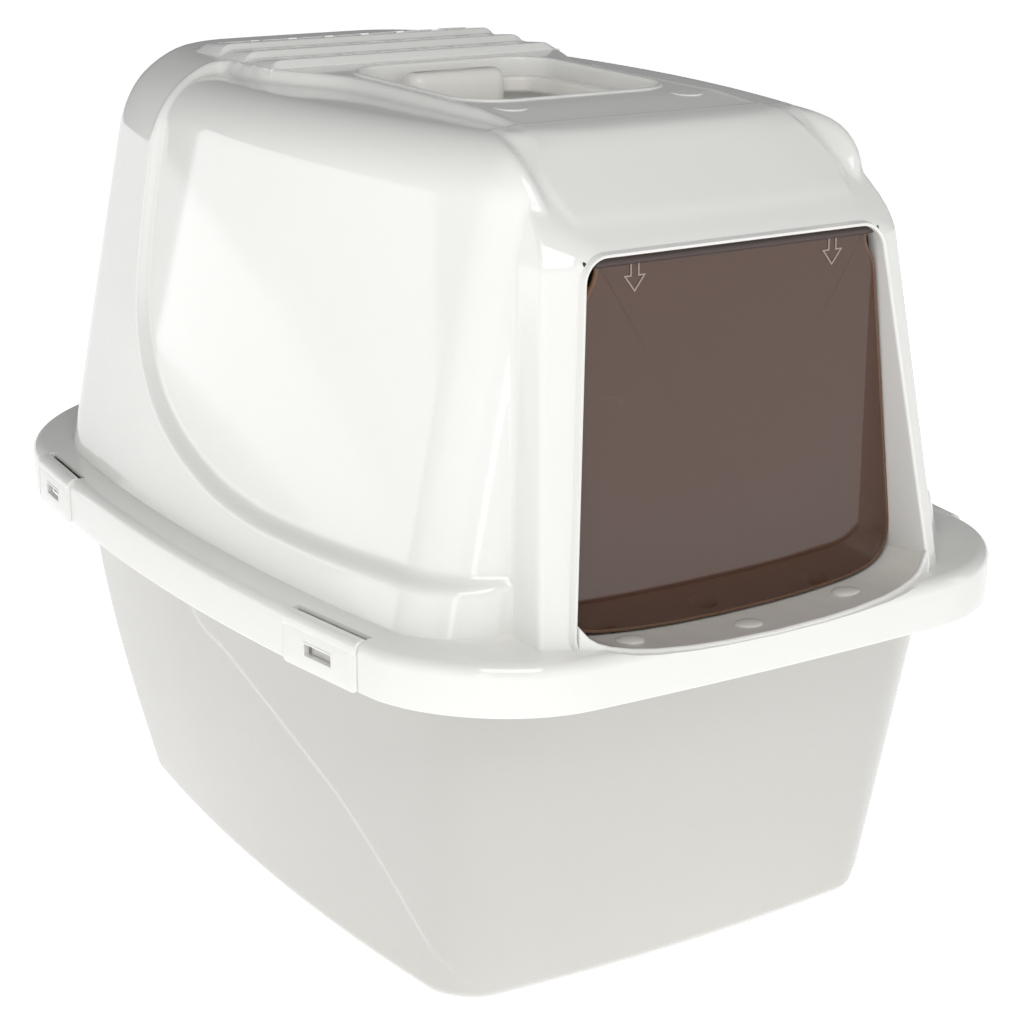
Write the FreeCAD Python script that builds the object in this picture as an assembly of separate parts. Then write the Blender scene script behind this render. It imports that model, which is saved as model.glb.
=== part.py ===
import FreeCAD, Part
import math
import os

# Hooded cat litter box: a tapered litter tray, a lift-off hood with a front doorway and a swinging
# see-through flap, four clips round the rim, a fold-up carry handle and a filter under the roof vent.
# Millimetres. +Z up, the front looks along -Y, origin under the middle of the box on the floor.

os.makedirs("parts", exist_ok=True)
V = FreeCAD.Vector

# ---------------------------------------------------------------- main sizes
LENGTH = 596.0                 # over the rim, front to back
HALF_WIDTH_CORNER = 175.0      # rim half width at its corners, before the sides bow out
SIDE_BOW = 31.4                # how far each side of the rim bows out
RIM_FRONT = -291.7             # corner line of the rim's front
RIM_REAR = 295.7
RIM_BOTTOM = 186.0             # lower edge of the hood's skirt
RIM_TOP = 212.0                # top of the hood's flange
SKIRT_WALL = 2.6
FLANGE_WALL = 2.6
SEAT = 198.5                   # top of the tray's rim, the hood rests on it
WALL = 3.0
ROOF = 447.0                   # top of the hood's outer form
LEDGE = 439.0                  # top of the hood's inner form, beside the deck

DOOR_TOP = 389.6
DOOR_HALF_TOP = 87.3           # doorway half width near the top
DOOR_HALF_LOW = 107.5
DOOR_TOP_LINE = 386.0
DOOR_LOW_LINE = 232.0
DOOR_BOTTOM = 201.5
SILL_BAR = 204.6               # top of the hood's bar across the front of the doorstep

FLAP_Y = -254.0
FLAP_AXIS_Z = 387.0
FLAP_THICK = 2.2
FLAP_GAP = 2.2
PIN_R = 2.0
PIN_GAP = 0.06

HANDLE_AXIS_Y = -85.0
HANDLE_AXIS_Z = 433.0
WELL_HALF = 62.0               # hand well in the roof
WELL_FRONT = -119.0
WELL_REAR = 23.0
WELL_FLOOR = 418.0

CLIP_WIDTH = 60.0
CLIP_AXIS_IN = 4.0             # clip axis, measured inwards from the skirt's face
CLIP_AXIS_Z = 206.8
CLIP_BARREL = 5.2
CLIP_PIN_R = 1.8


# ---------------------------------------------------------------- outline helpers
def bowed_ring(z, w, front, rear, bow_front, bow_side, bow_rear, r_front, r_rear, taper=0.0):
    """A closed ring at height z: four gently bowed sides joined by smooth corners.
    w is the half width at the corners, taper narrows the front and widens the rear."""
    a = V(-w + taper, front, z)
    b = V(w - taper, front, z)
    c = V(w + taper, rear, z)
    d = V(-w - taper, rear, z)
    sides = [(a, b, V(0, -1, 0), bow_front), (b, c, V(1, 0, 0), bow_side),
             (c, d, V(0, 1, 0), bow_rear), (d, a, V(-1, 0, 0), bow_side)]
    radii = [r_front, r_rear, r_rear, r_front]
    cut = []
    for i, (p, q, out, bow) in enumerate(sides):
        length = (q - p).Length
        curve = Part.BezierCurve()
        curve.setPoles([p, (p + q) * 0.5 + out * (2.0 * bow), q])
        curve.segment(radii[i - 1] / length, 1.0 - radii[i] / length)
        cut.append(curve)
    edges = []
    for i in range(4):
        here = cut[i]
        after = cut[(i + 1) % 4]
        edges.append(here.toShape())
        p0 = here.value(1.0)
        p3 = after.value(0.0)
        t0 = here.tangent(1.0)[0]
        t1 = after.tangent(0.0)[0]
        reach = radii[i] * 0.5523
        corner = Part.BezierCurve()
        corner.setPoles([p0, p0 + t0 * reach, p3 - t1 * reach, p3])
        edges.append(corner.toShape())
    return Part.Wire(edges)


def rim_ring(z, inset):
    return bowed_ring(z, HALF_WIDTH_CORNER - inset, RIM_FRONT + inset, RIM_REAR - inset,
                      6.4, SIDE_BOW, 2.4, 68.0 - inset, 126.0 - inset)


def rim_block(z0, z1, inset):
    return Part.makeLoft([rim_ring(z0, inset), rim_ring(z1, inset)], True, True)


def plan_face(points, z):
    pts = [V(x, y, z) for x, y in points]
    return Part.Face(Part.makePolygon(pts + [pts[0]]))


def side_prism(points, x0, x1):
    """A prism along X from a side view given as (y, z) points."""
    pts = [V(x0, y, z) for y, z in points]
    return Part.Face(Part.makePolygon(pts + [pts[0]])).extrude(V(x1 - x0, 0, 0))


def box(x0, x1, y0, y1, z0, z1):
    return Part.makeBox(x1 - x0, y1 - y0, z1 - z0, V(x0, y0, z0))


def round_box(x0, x1, y0, y1, z0, z1, r):
    """An upright box with its four upright corners rounded."""
    solid = box(x0, x1, y0, y1, z0, z1)
    upright = [e for e in solid.Edges if abs(e.tangentAt(e.FirstParameter).z) > 0.99]
    return solid.makeFillet(r, upright)


def save(name, shape):
    shape = shape.removeSplitter()
    if shape.ShapeType == "Compound" and len(shape.Solids) == 1:
        shape = shape.Solids[0]
    shape.exportStep("parts/" + name + ".step")
    print(name, "solids", len(shape.Solids), "valid", shape.isValid(), "cm3", round(shape.Volume / 1000, 1))


# ---------------------------------------------------------------- clip places round the rim
# where each clip sits: x, y on the skirt's face and the way it faces, in degrees from +X
CLIPS = {
    "clip_front_left": (-193.3, -188.0, 180.0 + 8.0),
    "clip_front_right": (193.3, -188.0, -8.0),
    "clip_rear_left": (-200.4, 135.0, 180.0 - 5.0),
    "clip_rear_right": (200.4, 135.0, 5.0),
}


def place(shape, x, y, facing):
    moved = shape.copy()
    moved.rotate(V(0, 0, 0), V(0, 0, 1), facing)
    moved.translate(V(x, y, 0))
    return moved


# ---------------------------------------------------------------- litter tray
def tray_ring(z, shrink):
    """Outside of the tray at height z, drawn in by shrink."""
    up = min(max(z / SEAT, 0.0), 1.0)
    belly = math.sin(math.pi * up)
    half = 137.0 + 7.0 * up
    bow = 12.5 + 17.0 * up
    front = -215.0 - 52.0 * up
    rear = 165.0 + 100.0 * up + 20.0 * belly
    r_front = 24.0 + 22.0 * up
    r_rear = 30.0 + 42.0 * up
    return bowed_ring(z, half - shrink, front + shrink, rear - shrink, 7.5, bow, 3.0,
                      r_front - shrink * 0.5, r_rear - shrink * 0.5)


def tray_form(shrink, floor, top):
    rings = []
    for z, inset in ((floor, 7.0), (floor + 2.0, 3.2), (floor + 7.0, 0.0)):
        rings.append(tray_ring(z, shrink + inset))
    for z in (30.0, 55.0, 80.0, 105.0, 130.0, 155.0, top):
        rings.append(tray_ring(z, shrink))
    return Part.makeLoft(rings, True, True)


tray = tray_form(0.0, 0.0, SEAT)
tray_rim = rim_block(SEAT - 3.0, SEAT, 6.0)
tray_lip = rim_block(SEAT - 10.0, SEAT, 6.0).cut(rim_block(SEAT - 11.0, SEAT + 1.0, 8.4))
tray = tray.fuse(tray_rim).fuse(tray_lip)
hollow = tray_form(WALL, WALL, SEAT + 5.0)
# the doorstep: a level ledge inside the doorway, wide enough for a paw
step = round_box(-116.0, 116.0, -288.0, -246.0, SEAT - 3.0, SEAT, 5.0)
step = step.common(tray_form(0.5, 0.0, SEAT + 0.0).fuse(rim_block(SEAT - 3.0, SEAT, 6.0)))
tray = tray.cut(hollow).fuse(step)
for x in (-65.0, 0.0, 65.0):
    bump = Part.makeCylinder(7.0, 1.0, V(x, -274.0, SEAT - 0.2))
    tray = tray.fuse(bump.cut(box(x - 8, x + 8, -274.0, -260.0, SEAT - 1, SEAT + 2)))
for name, (x, y, facing) in CLIPS.items():
    lug = box(-9.5, -1.5, -9.0, 9.0, 194.3, 198.4)
    tray = tray.fuse(place(lug, x, y, facing))
save("tray", tray)


# ---------------------------------------------------------------- hood
def outer_ring(z, inset):
    """The hood's outer form at height z."""
    up = (z - RIM_TOP) / (ROOF - RIM_TOP)
    return bowed_ring(z, 162.0 - 60.0 * up - inset, -248.0 + 7.0 * up + inset, 252.0 - 14.0 * up - inset,
                      2.0, 23.5 + 18.0 * up, 4.0, 36.0 - 8.0 * up - inset * 0.15,
                      100.0 - 34.0 * up - inset * 0.5)


def inner_ring(z, inset):
    """The hood's set-back side panels at height z: they run out to the outer form at the rear."""
    up = (z - RIM_TOP) / (ROOF - RIM_TOP)
    return bowed_ring(z, 157.0 - 60.0 * up - inset, -243.0 + 7.0 * up + inset, 249.0 - 14.0 * up - inset,
                      2.0, 22.5 + 18.0 * up, 3.0, 42.0 - 6.0 * up - inset * 0.3,
                      98.0 - 34.0 * up - inset * 0.6, 3.0)


def domed(ring, bottom, top, edge, inset):
    """Loft from bottom to top whose upper edge rolls over with radius edge."""
    rings = [ring(bottom, inset), ring(top - edge, inset)]
    for turn in (15.0, 30.0, 45.0, 60.0, 75.0, 90.0):
        a = math.radians(turn)
        rings.append(ring(top - edge + edge * math.sin(a), inset + edge * (1 - math.cos(a))))
    return Part.makeLoft(rings, True, True)


outer = domed(outer_ring, RIM_TOP - 2.6, ROOF, 44.0, 0.0)
inner = domed(inner_ring, RIM_TOP - 2.6, LEDGE, 26.0, 0.0)
cabin = domed(inner_ring, RIM_TOP - 12.0, LEDGE - WALL, 24.0, WALL)
cabin = cabin.cut(side_prism([(-194.1, 436.6), (-300, 353), (-400, 353), (-400, 520), (-194.1, 520)], -300, 300))

# side panels: where the outer form is cut back, seen from the side as (y, z)
panel = side_prism([(-246, 238), (-246, 470), (96, 470), (94, 384), (93, 348), (83, 313), (65, 290),
                    (41, 270), (14, 256), (-10, 248), (-38, 241), (-79, 238)], 72.0, 300.0)
deck_edge = plan_face([(72, -300), (76, -160), (73, -20), (78, 2), (88, 20), (97, 42), (99, 100),
                       (300, 100), (300, -300)], 200.0).extrude(V(0, 0, 300))
panel_right = panel.common(deck_edge)
panel_left = panel_right.mirror(V(0, 0, 0), V(1, 0, 0))
shell = outer.cut(panel_right.cut(inner)).cut(panel_left.cut(inner))
shell = shell.cut(side_prism([(-196.0, 439.0), (-244.5, 400.6), (-400, 400.6), (-400, 500), (-196.0, 500)],
                             -84.0, 84.0))

# door surround: leans back, slopes over the brow to the deck, and is cut off at its outer corners
brow = [(-284.5, 195.0), (-284.5, 206.0), (-258.5, DOOR_TOP), (-196.0, 439.0), (-120.0, 443.5),
        (-120.0, 300.0), (-200.0, 195.0)]
front_view = [(-126.0, 195.0), (-108.0, 386.0), (-84.0, 470.0), (84.0, 470.0), (108.0, 386.0), (126.0, 195.0)]


def surround(back, narrow):
    face = Part.Face(Part.makePolygon([V(x - math.copysign(narrow, x), -400, z)
                                       for x, z in front_view + front_view[:1]]))
    body = face.extrude(V(0, 300, 0))
    body = body.common(side_prism([(y + back, z - back * 0.8) for y, z in brow], -200, 200))
    for s in (-1.0, 1.0):
        a = V(s * (113.0 - narrow * 1.2), -300.0 + back * 0.5, 150.0)
        step_up = V(s * -28.6, 36.6, 260.0)
        wedge = Part.Face(Part.makePolygon([a + V(s * -9, -10, 0), a + V(s * 60, -10, 0),
                                            a + V(s * 60, 54, 0), a + V(s * -9, -10, 0)]))
        body = body.cut(wedge.extrude(step_up))
    return body


door_block = surround(0.0, 0.0)
door_room = surround(2.8, 2.8)


def doorway(grow, y0, y1, bottom=DOOR_BOTTOM):
    lower = bottom - grow
    slope = (DOOR_HALF_LOW - DOOR_HALF_TOP) / (DOOR_TOP_LINE - DOOR_LOW_LINE)
    top_half = DOOR_HALF_TOP - slope * (DOOR_TOP - DOOR_TOP_LINE) + grow
    low_half = DOOR_HALF_LOW + slope * (DOOR_LOW_LINE - lower) * 0.3 + grow
    pts = [V(-top_half, y0, DOOR_TOP + grow), V(top_half, y0, DOOR_TOP + grow),
           V(low_half, y0, lower), V(-low_half, y0, lower)]
    solid = Part.Face(Part.makePolygon(pts + [pts[0]])).extrude(V(0, y1 - y0, 0))
    across = [e for e in solid.Edges if abs(e.tangentAt(e.FirstParameter).y) > 0.99]
    return solid.makeFillet(12.5 + grow, across)


reveal = doorway(2.6, -300.0, -248.0).common(door_block)
# open underneath: the tray's doorstep is the floor of the doorway
reveal = reveal.cut(box(-96.0, 96.0, -288.9, -240.0, 198.0, 202.8))
flange = Part.makeLoft([rim_ring(RIM_BOTTOM, 0.0), rim_ring(205.5, 0.0), rim_ring(208.6, 0.8),
                        rim_ring(210.8, 2.6), rim_ring(RIM_TOP, 6.5)], True, True)
flange_room = Part.makeLoft([rim_ring(RIM_BOTTOM - 2, SKIRT_WALL), rim_ring(204.0, SKIRT_WALL),
                             rim_ring(RIM_TOP - FLANGE_WALL, 7.5)], True, True)

# seat rib inside the skirt: the hood stands on the tray's rim with it
rib = rim_block(SEAT + 0.3, RIM_TOP - 1.0, 11.0).cut(rim_block(SEAT - 1, RIM_TOP, 13.4))
rib = rib.cut(box(-124, 124, -320, -200, 190, 220))

hood = shell.fuse(flange).fuse(door_block)
hood = hood.cut(flange_room)
hood = hood.cut(cabin)
hood = hood.cut(door_room)
hood = hood.cut(box(-121, 121, -281.5, -200, 150, 212))
front_bar = rim_block(SEAT + 0.7, SILL_BAR, 0.3).common(box(-121.5, 121.5, -320, -289.0, 190, 210))
hood = hood.fuse(reveal).fuse(rib)
for s in (-1.0, 1.0):
    hood = hood.fuse(box(*sorted((s * 81.6, s * 91.0)), -258.2, -250.0, 382.5, 391.5))
hood = hood.cut(doorway(0.0, -289.0, -240.0))
hood = hood.cut(doorway(0.0, -330.0, -288.0, SILL_BAR)).fuse(front_bar)
for s in (-1.0, 1.0):
    socket = box(*sorted((s * 82.2, s * 91.0)), -257.8, -250.2, 383.0, 391.0)
    hood = hood.fuse(socket)
hood = hood.cut(Part.makeCylinder(PIN_R + PIN_GAP, 240.0, V(-120, FLAP_Y, FLAP_AXIS_Z), V(1, 0, 0))
                .common(box(-89.5, 89.5, -270, -240, 370, 400)))
hood = hood.cut(side_prism([(-400, 470), (-400, 436), (-196, 439.0), (-139, 443.4), (46, 446.3), (46, 470)],
                           -130, 130).common(box(-130, 130, -400, 46, 430, 470)))

# vent: three sloped steps across the rear of the roof, pierced by rows of round holes
steps = side_prism([(40, 438), (46, 446.3), (49.5, 450.2), (79, 448.0), (82.5, 451.8), (111.5, 449.5),
                    (115, 453.2), (150, 450.0), (172, 444.0), (172, 438)], -96.0, 96.0)
steps = steps.common(round_box(-96, 96, -40, 172, 430, 460, 14.0))
hood = hood.fuse(steps)
under_deck = side_prism([(-186, 420), (-186, 436.6), (-139, 440.2), (44, 443.2), (44, 420)], -69.0, 69.0)
under_vent = round_box(-92, 92, 46, 152, 420, 446.6, 6.0)
hood = hood.cut(under_deck).cut(under_vent)
HOLE_ROWS = (66.0, 99.0, 133.0)
HOLE_PITCH = 24.4
for y in HOLE_ROWS:
    for i in range(-3, 4):
        hood = hood.cut(Part.makeCylinder(8.0, 20.0, V(i * HOLE_PITCH, y, 440.0)))

# hand well in the roof, with bores for the handle's pins
well = round_box(-WELL_HALF - 2.6, WELL_HALF + 2.6, WELL_FRONT - 2.6, WELL_REAR + 2.6,
                 WELL_FLOOR - 2.6, 445.5, 27.6)
deck_cover = side_prism([(-200, 400), (-196, 438.8), (-139, 443.2), (46, 446.1), (46, 400)], -80, 80)
well = well.common(deck_cover)
hood = hood.fuse(well)
hood = hood.cut(round_box(-WELL_HALF, WELL_HALF, WELL_FRONT, WELL_REAR, WELL_FLOOR, 480, 25.0))
for s in (-1.0, 1.0):
    boss = Part.makeCylinder(6.0, 5.4, V(s * (WELL_HALF + 2.5), HANDLE_AXIS_Y, HANDLE_AXIS_Z), V(s, 0, 0))
    hood = hood.fuse(boss)
hood = hood.cut(Part.makeCylinder(2.56, 134.0, V(-67.0, HANDLE_AXIS_Y, HANDLE_AXIS_Z), V(1, 0, 0)))

# ledges that hold the filter's holder under the vent
for s in (-1.0, 1.0):
    hood = hood.fuse(box(*sorted((s * 86.0, s * 93.0)), 60, 140, 427.0, 430.0))
    hood = hood.fuse(box(*sorted((s * 91.5, s * 94.5)), 60, 140, 427.0, 441.0))

# clip pockets: a gap in flange and skirt, a round bed for the barrel and a lug each side for the pins
for name, (x, y, facing) in CLIPS.items():
    lugs = box(-9.8, -2.0, -CLIP_WIDTH / 2 - 6.4, CLIP_WIDTH / 2 + 6.4, 202.6, 210.2)
    hood = hood.fuse(place(lugs, x, y, facing))
    gap = box(-9.9, 12.0, -CLIP_WIDTH / 2 - 0.4, CLIP_WIDTH / 2 + 0.4, 180.0, CLIP_AXIS_Z)
    bed = Part.makeCylinder(CLIP_BARREL + 0.5, CLIP_WIDTH + 0.8,
                            V(-CLIP_AXIS_IN, -CLIP_WIDTH / 2 - 0.4, CLIP_AXIS_Z), V(0, 1, 0))
    mouth = box(-CLIP_AXIS_IN, 12.0, -CLIP_WIDTH / 2 - 0.4, CLIP_WIDTH / 2 + 0.4, CLIP_AXIS_Z - 1, 216.0)
    bores = Part.makeCylinder(CLIP_PIN_R + PIN_GAP, CLIP_WIDTH + 9.0,
                              V(-CLIP_AXIS_IN, -CLIP_WIDTH / 2 - 4.5, CLIP_AXIS_Z), V(0, 1, 0))
    for tool in (gap, bed, mouth, bores):
        hood = hood.cut(place(tool, x, y, facing))
save("hood", hood)


# ---------------------------------------------------------------- clips
def clip():
    """One rim clip in its own frame: +X outwards, Y along the rim."""
    half = CLIP_WIDTH / 2
    plate = box(-1.2, 1.2, -half, half, RIM_BOTTOM - 0.5, CLIP_AXIS_Z)
    low = [e for e in plate.Edges if abs(e.tangentAt(e.FirstParameter).x) > 0.99 and e.CenterOfMass.z < 190]
    plate = plate.makeFillet(3.0, low)
    barrel = Part.makeCylinder(CLIP_BARREL, CLIP_WIDTH, V(-CLIP_AXIS_IN, -half, CLIP_AXIS_Z), V(0, 1, 0))
    pins = Part.makeCylinder(CLIP_PIN_R, CLIP_WIDTH + 8.0, V(-CLIP_AXIS_IN, -half - 4.0, CLIP_AXIS_Z), V(0, 1, 0))
    window = box(-5, 5, -11.0, 11.0, 193.6, 199.6)
    return plate.fuse(barrel).fuse(pins).cut(window)


for name, (x, y, facing) in CLIPS.items():
    save(name, place(clip(), x, y, facing))


# ---------------------------------------------------------------- flap
def flap_panel():
    slope = (DOOR_HALF_LOW - DOOR_HALF_TOP) / (DOOR_TOP_LINE - DOOR_LOW_LINE)
    y = FLAP_Y - FLAP_THICK / 2
    top = FLAP_AXIS_Z
    low = 207.0
    top_half = DOOR_HALF_TOP - FLAP_GAP - 4.0
    low_half = DOOR_HALF_LOW - FLAP_GAP
    edge = [V(-top_half, y, top), V(top_half, y, top)]
    neck = V(top_half, y, top - 7.0)
    right = [neck, V(DOOR_HALF_TOP - FLAP_GAP + slope * 15, y, 371.0)]
    sweep = Part.Arc(V(-low_half + 20, y, low), V(0, y, 203.4), V(low_half - 20, y, low)).toShape()
    wires = [Part.makeLine(*edge), Part.makeLine(edge[1], neck), Part.makeLine(*right),
             Part.makeLine(right[1], V(low_half, y, 228.0)),
             Part.makeLine(V(low_half, y, 228.0), V(low_half - 4, y, 214.0)),
             Part.makeLine(V(low_half - 4, y, 214.0), V(low_half - 20, y, low)),
             sweep,
             Part.makeLine(V(-low_half + 20, y, low), V(-low_half + 4, y, 214.0)),
             Part.makeLine(V(-low_half + 4, y, 214.0), V(-low_half, y, 228.0)),
             Part.makeLine(V(-low_half, y, 228.0), V(-right[1].x, y, 371.0)),
             Part.makeLine(V(-right[1].x, y, 371.0), V(-neck.x, y, neck.z)),
             Part.makeLine(V(-neck.x, y, neck.z), edge[0])]
    return Part.Face(Part.Wire(Part.__sortEdges__(wires))).extrude(V(0, FLAP_THICK, 0))


flap = flap_panel()
flap = flap.fuse(Part.makeCylinder(PIN_R, 162.8, V(-81.4, FLAP_Y, FLAP_AXIS_Z), V(1, 0, 0)))
flap = flap.fuse(Part.makeCylinder(PIN_R, 176.0, V(-88.0, FLAP_Y, FLAP_AXIS_Z), V(1, 0, 0)))
save("flap", flap)


# ---------------------------------------------------------------- handle
def handle():
    outer_loop = round_box(-57.5, 57.5, -110.0, 17.5, 428.5, 437.5, 20.5)
    inner_loop = round_box(-49.5, 49.5, -120.0, 6.5, 420.0, 450.0, 12.5)
    loop = outer_loop.cut(inner_loop).cut(box(-70, 70, -130, HANDLE_AXIS_Y, 420, 450))
    grip = round_box(-31.0, 31.0, -1.5, 17.5, 424.0, 443.8, 7.0)
    top = [e for e in grip.Edges if abs(e.CenterOfMass.z - 443.8) < 0.01]
    grip = grip.makeFillet(4.0, top)
    loop = loop.fuse(grip)
    for s in (-1.0, 1.0):
        x = min(s * 49.5, s * 57.5)
        loop = loop.fuse(Part.makeCylinder(4.5, 8.0, V(x, HANDLE_AXIS_Y, HANDLE_AXIS_Z), V(1, 0, 0)))
        loop = loop.fuse(Part.makeCylinder(2.5, 15.0, V(s * 50.5, HANDLE_AXIS_Y, HANDLE_AXIS_Z), V(s, 0, 0)))
    return loop


save("handle", handle())


# ---------------------------------------------------------------- filter under the vent
holder = round_box(-90.6, 90.6, 52.0, 148.0, 430.4, 440.0, 5.0)
holder = holder.cut(round_box(-88.0, 88.0, 54.6, 145.4, 432.8, 450.0, 4.0))
for i in range(5):
    for j in range(3):
        x = -83.0 + i * 34.0
        y = 59.0 + j * 28.6
        holder = holder.cut(box(x, x + 30.0, y, y + 24.8, 420.0, 440.0))
save("filter_holder", holder)
save("filter_pad", round_box(-87.4, 87.4, 55.2, 144.8, 433.1, 443.5, 4.0))
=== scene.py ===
import math

import bmesh
import bpy
import numpy as np
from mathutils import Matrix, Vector


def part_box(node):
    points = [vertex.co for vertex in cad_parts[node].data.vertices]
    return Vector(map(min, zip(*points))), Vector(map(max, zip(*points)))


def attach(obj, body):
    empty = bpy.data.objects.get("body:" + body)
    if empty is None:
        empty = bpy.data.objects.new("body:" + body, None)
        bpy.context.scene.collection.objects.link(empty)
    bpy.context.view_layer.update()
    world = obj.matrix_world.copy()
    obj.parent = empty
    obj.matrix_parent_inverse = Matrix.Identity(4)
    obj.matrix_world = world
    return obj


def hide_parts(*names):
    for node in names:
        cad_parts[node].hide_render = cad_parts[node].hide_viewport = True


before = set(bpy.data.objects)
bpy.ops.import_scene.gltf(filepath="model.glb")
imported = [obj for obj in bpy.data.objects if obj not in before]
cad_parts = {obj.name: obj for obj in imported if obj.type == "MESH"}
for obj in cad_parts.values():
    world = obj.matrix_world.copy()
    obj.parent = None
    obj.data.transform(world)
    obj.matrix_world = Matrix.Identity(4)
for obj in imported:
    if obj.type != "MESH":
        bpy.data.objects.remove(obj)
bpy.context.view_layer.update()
MM = 0.001

# The driving sizes, in millimetres: +Z up, the doorway looks along -Y.
RIM_TOP = 212.0             # top of the hood's flange
SEAT = 198.5                # top of the tray's rim, where the hood sits
ROOF = 447.0                # top of the cape over the rear and the sides
LEDGE = 439.0               # top of the set-back side panels
DOOR_TOP = 389.6            # top edge of the doorway
WALL = 2.8                  # thickness of the hood's wall
FLAP_Y, FLAP_Z = -254.0, 387.0          # the flap's level hinge line
WELL_HALF, WELL_FRONT, WELL_REAR = 62.0, -119.0, 23.0
WELL_FLOOR, WELL_UNDERSIDE = 418.0, 415.4
HANDLE_Y, HANDLE_Z = -85.0, 433.0       # the handle's level hinge line
DECK_MARK = (54.0, -139.0, 443.4)       # half distance between the deck's two marks, their y and z
VENT_ROWS = (66.0, 99.0, 133.0)         # y of each row of vent holes
VENT_PITCH, VENT_HOLE_R = 24.4, 8.0


# ---------------------------------------------------------------- materials
def principled(name, colour, rough, **sockets):
    """A moulded plastic: the colour times 0.975 to 1.015 by a slow noise, the roughness times 0.8 to 1.25 by a
    quicker one, and a bump that adds slow waves and 0.02 of a fine grain."""
    mat = bpy.data.materials.new(name)
    mat.use_nodes = True
    tree = mat.node_tree
    shader = tree.nodes["Principled BSDF"]
    for key, value in sockets.items():
        shader.inputs[key.replace("_", " ")].default_value = value
    place = tree.nodes.new("ShaderNodeTexCoord")
    flow = tree.nodes.new("ShaderNodeTexNoise")
    flow.inputs["Scale"].default_value = 9.0
    flow.inputs["Detail"].default_value = 3.0
    tree.links.new(place.outputs["Object"], flow.inputs["Vector"])
    tint = tree.nodes.new("ShaderNodeMix")
    tint.data_type = "RGBA"
    tint.inputs["A"].default_value = (*[c * 0.975 for c in colour], 1.0)
    tint.inputs["B"].default_value = (*[min(c * 1.015, 1.0) for c in colour], 1.0)
    tree.links.new(flow.outputs["Fac"], tint.inputs["Factor"])
    tree.links.new(tint.outputs["Result"], shader.inputs["Base Color"])
    polish = tree.nodes.new("ShaderNodeTexNoise")
    polish.inputs["Scale"].default_value = 34.0
    polish.inputs["Detail"].default_value = 4.0
    tree.links.new(place.outputs["Object"], polish.inputs["Vector"])
    spread = tree.nodes.new("ShaderNodeMapRange")
    spread.inputs["To Min"].default_value = rough * 0.8
    spread.inputs["To Max"].default_value = rough * 1.25
    tree.links.new(polish.outputs["Fac"], spread.inputs["Value"])
    tree.links.new(spread.outputs["Result"], shader.inputs["Roughness"])
    skin = tree.nodes.new("ShaderNodeTexNoise")
    skin.inputs["Scale"].default_value = 900.0
    skin.inputs["Detail"].default_value = 2.0
    tree.links.new(place.outputs["Object"], skin.inputs["Vector"])
    waves = tree.nodes.new("ShaderNodeTexNoise")
    waves.inputs["Scale"].default_value = 14.0
    waves.inputs["Detail"].default_value = 1.0
    tree.links.new(place.outputs["Object"], waves.inputs["Vector"])
    both = tree.nodes.new("ShaderNodeMath")
    both.operation = "MULTIPLY_ADD"
    both.inputs[1].default_value = 0.02
    tree.links.new(skin.outputs["Fac"], both.inputs[0])
    tree.links.new(waves.outputs["Fac"], both.inputs[2])
    bump = tree.nodes.new("ShaderNodeBump")
    bump.inputs["Strength"].default_value = 0.2
    bump.inputs["Distance"].default_value = 0.0006
    tree.links.new(both.outputs["Value"], bump.inputs["Height"])
    tree.links.new(bump.outputs["Normal"], shader.inputs["Normal"])
    return mat


HOOD_WHITE = principled("hood_white_gloss", (0.80, 0.795, 0.765), 0.07, IOR=1.5)
TRAY_GREY = principled("tray_warm_grey", (0.53, 0.52, 0.49), 0.11, IOR=1.5)
# painted light: the doorstep is coloured lighter than the tray's grey, to brighten the ledge that lies in shade
# under the flap and the brow
STEP_PAINTED_LIGHT = principled("step_grey_painted_light", (0.70, 0.68, 0.635), 0.16, IOR=1.5)
CLIP_WHITE = principled("clip_white_satin", (0.80, 0.795, 0.765), 0.12, IOR=1.5)
GRIP_CREAM = principled("handle_cream_satin", (0.81, 0.79, 0.74), 0.25, IOR=1.49)
HOLDER_WHITE = principled("holder_white_matt", (0.74, 0.73, 0.7), 0.5, IOR=1.49)
CARBON = principled("carbon_fleece", (0.03, 0.03, 0.032), 0.95)
FLAP_SMOKE = principled("flap_smoky_brown", (0.078, 0.033, 0.018), 0.06, IOR=1.55, Alpha=0.86,
                        Coat_Weight=0.4, Coat_Roughness=0.03)
FLAP_RIM = principled("flap_rim_amber", (0.16, 0.075, 0.032), 0.12, IOR=1.55, Alpha=0.9)
ARROW_CLEAR = principled("flap_arrow_light", (0.30, 0.24, 0.21), 0.15, IOR=1.55)
# painted shade: near-black brown for the shaded gap at the flap's top, given to the hinge rod that sits in it
HINGE_GAP_SHADE = principled("hinge_shadow_brown", (0.05, 0.035, 0.03), 0.4, IOR=1.5)


# ---------------------------------------------------------------- mesh helpers
def ring_faces(rows, cols):
    """Quads of a grid of rows by cols points; the last column joins the first."""
    r = np.arange(rows - 1)[:, None]
    c = np.arange(cols)[None, :]
    n = (c + 1) % cols
    a, b = r * cols + c, r * cols + n
    return np.stack([a, b, b + cols, a + cols], -1).reshape(-1, 4)


def make(name, points, faces, material, body, node, slot, sharp=50.0, weld=1e-6):
    """A mesh from points in millimetres, welded, with its faces turned outwards and shaded smooth."""
    mesh = bpy.data.meshes.new(name)
    pts = np.asarray(points, float).reshape(-1, 3) * MM
    mesh.from_pydata(pts.tolist(), [], [list(f) for f in faces])
    bm = bmesh.new()
    bm.from_mesh(mesh)
    bmesh.ops.remove_doubles(bm, verts=bm.verts, dist=weld)
    bmesh.ops.dissolve_degenerate(bm, edges=bm.edges, dist=weld)
    bmesh.ops.recalc_face_normals(bm, faces=bm.faces)
    bm.to_mesh(mesh)
    bm.free()
    obj = bpy.data.objects.new(name, mesh)
    bpy.context.collection.objects.link(obj)
    if material is not None:
        mesh.materials.append(material)
    obj["sharp"] = sharp
    if body:
        jobs.append((obj, body, node, slot))
    return obj


jobs = []


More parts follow.
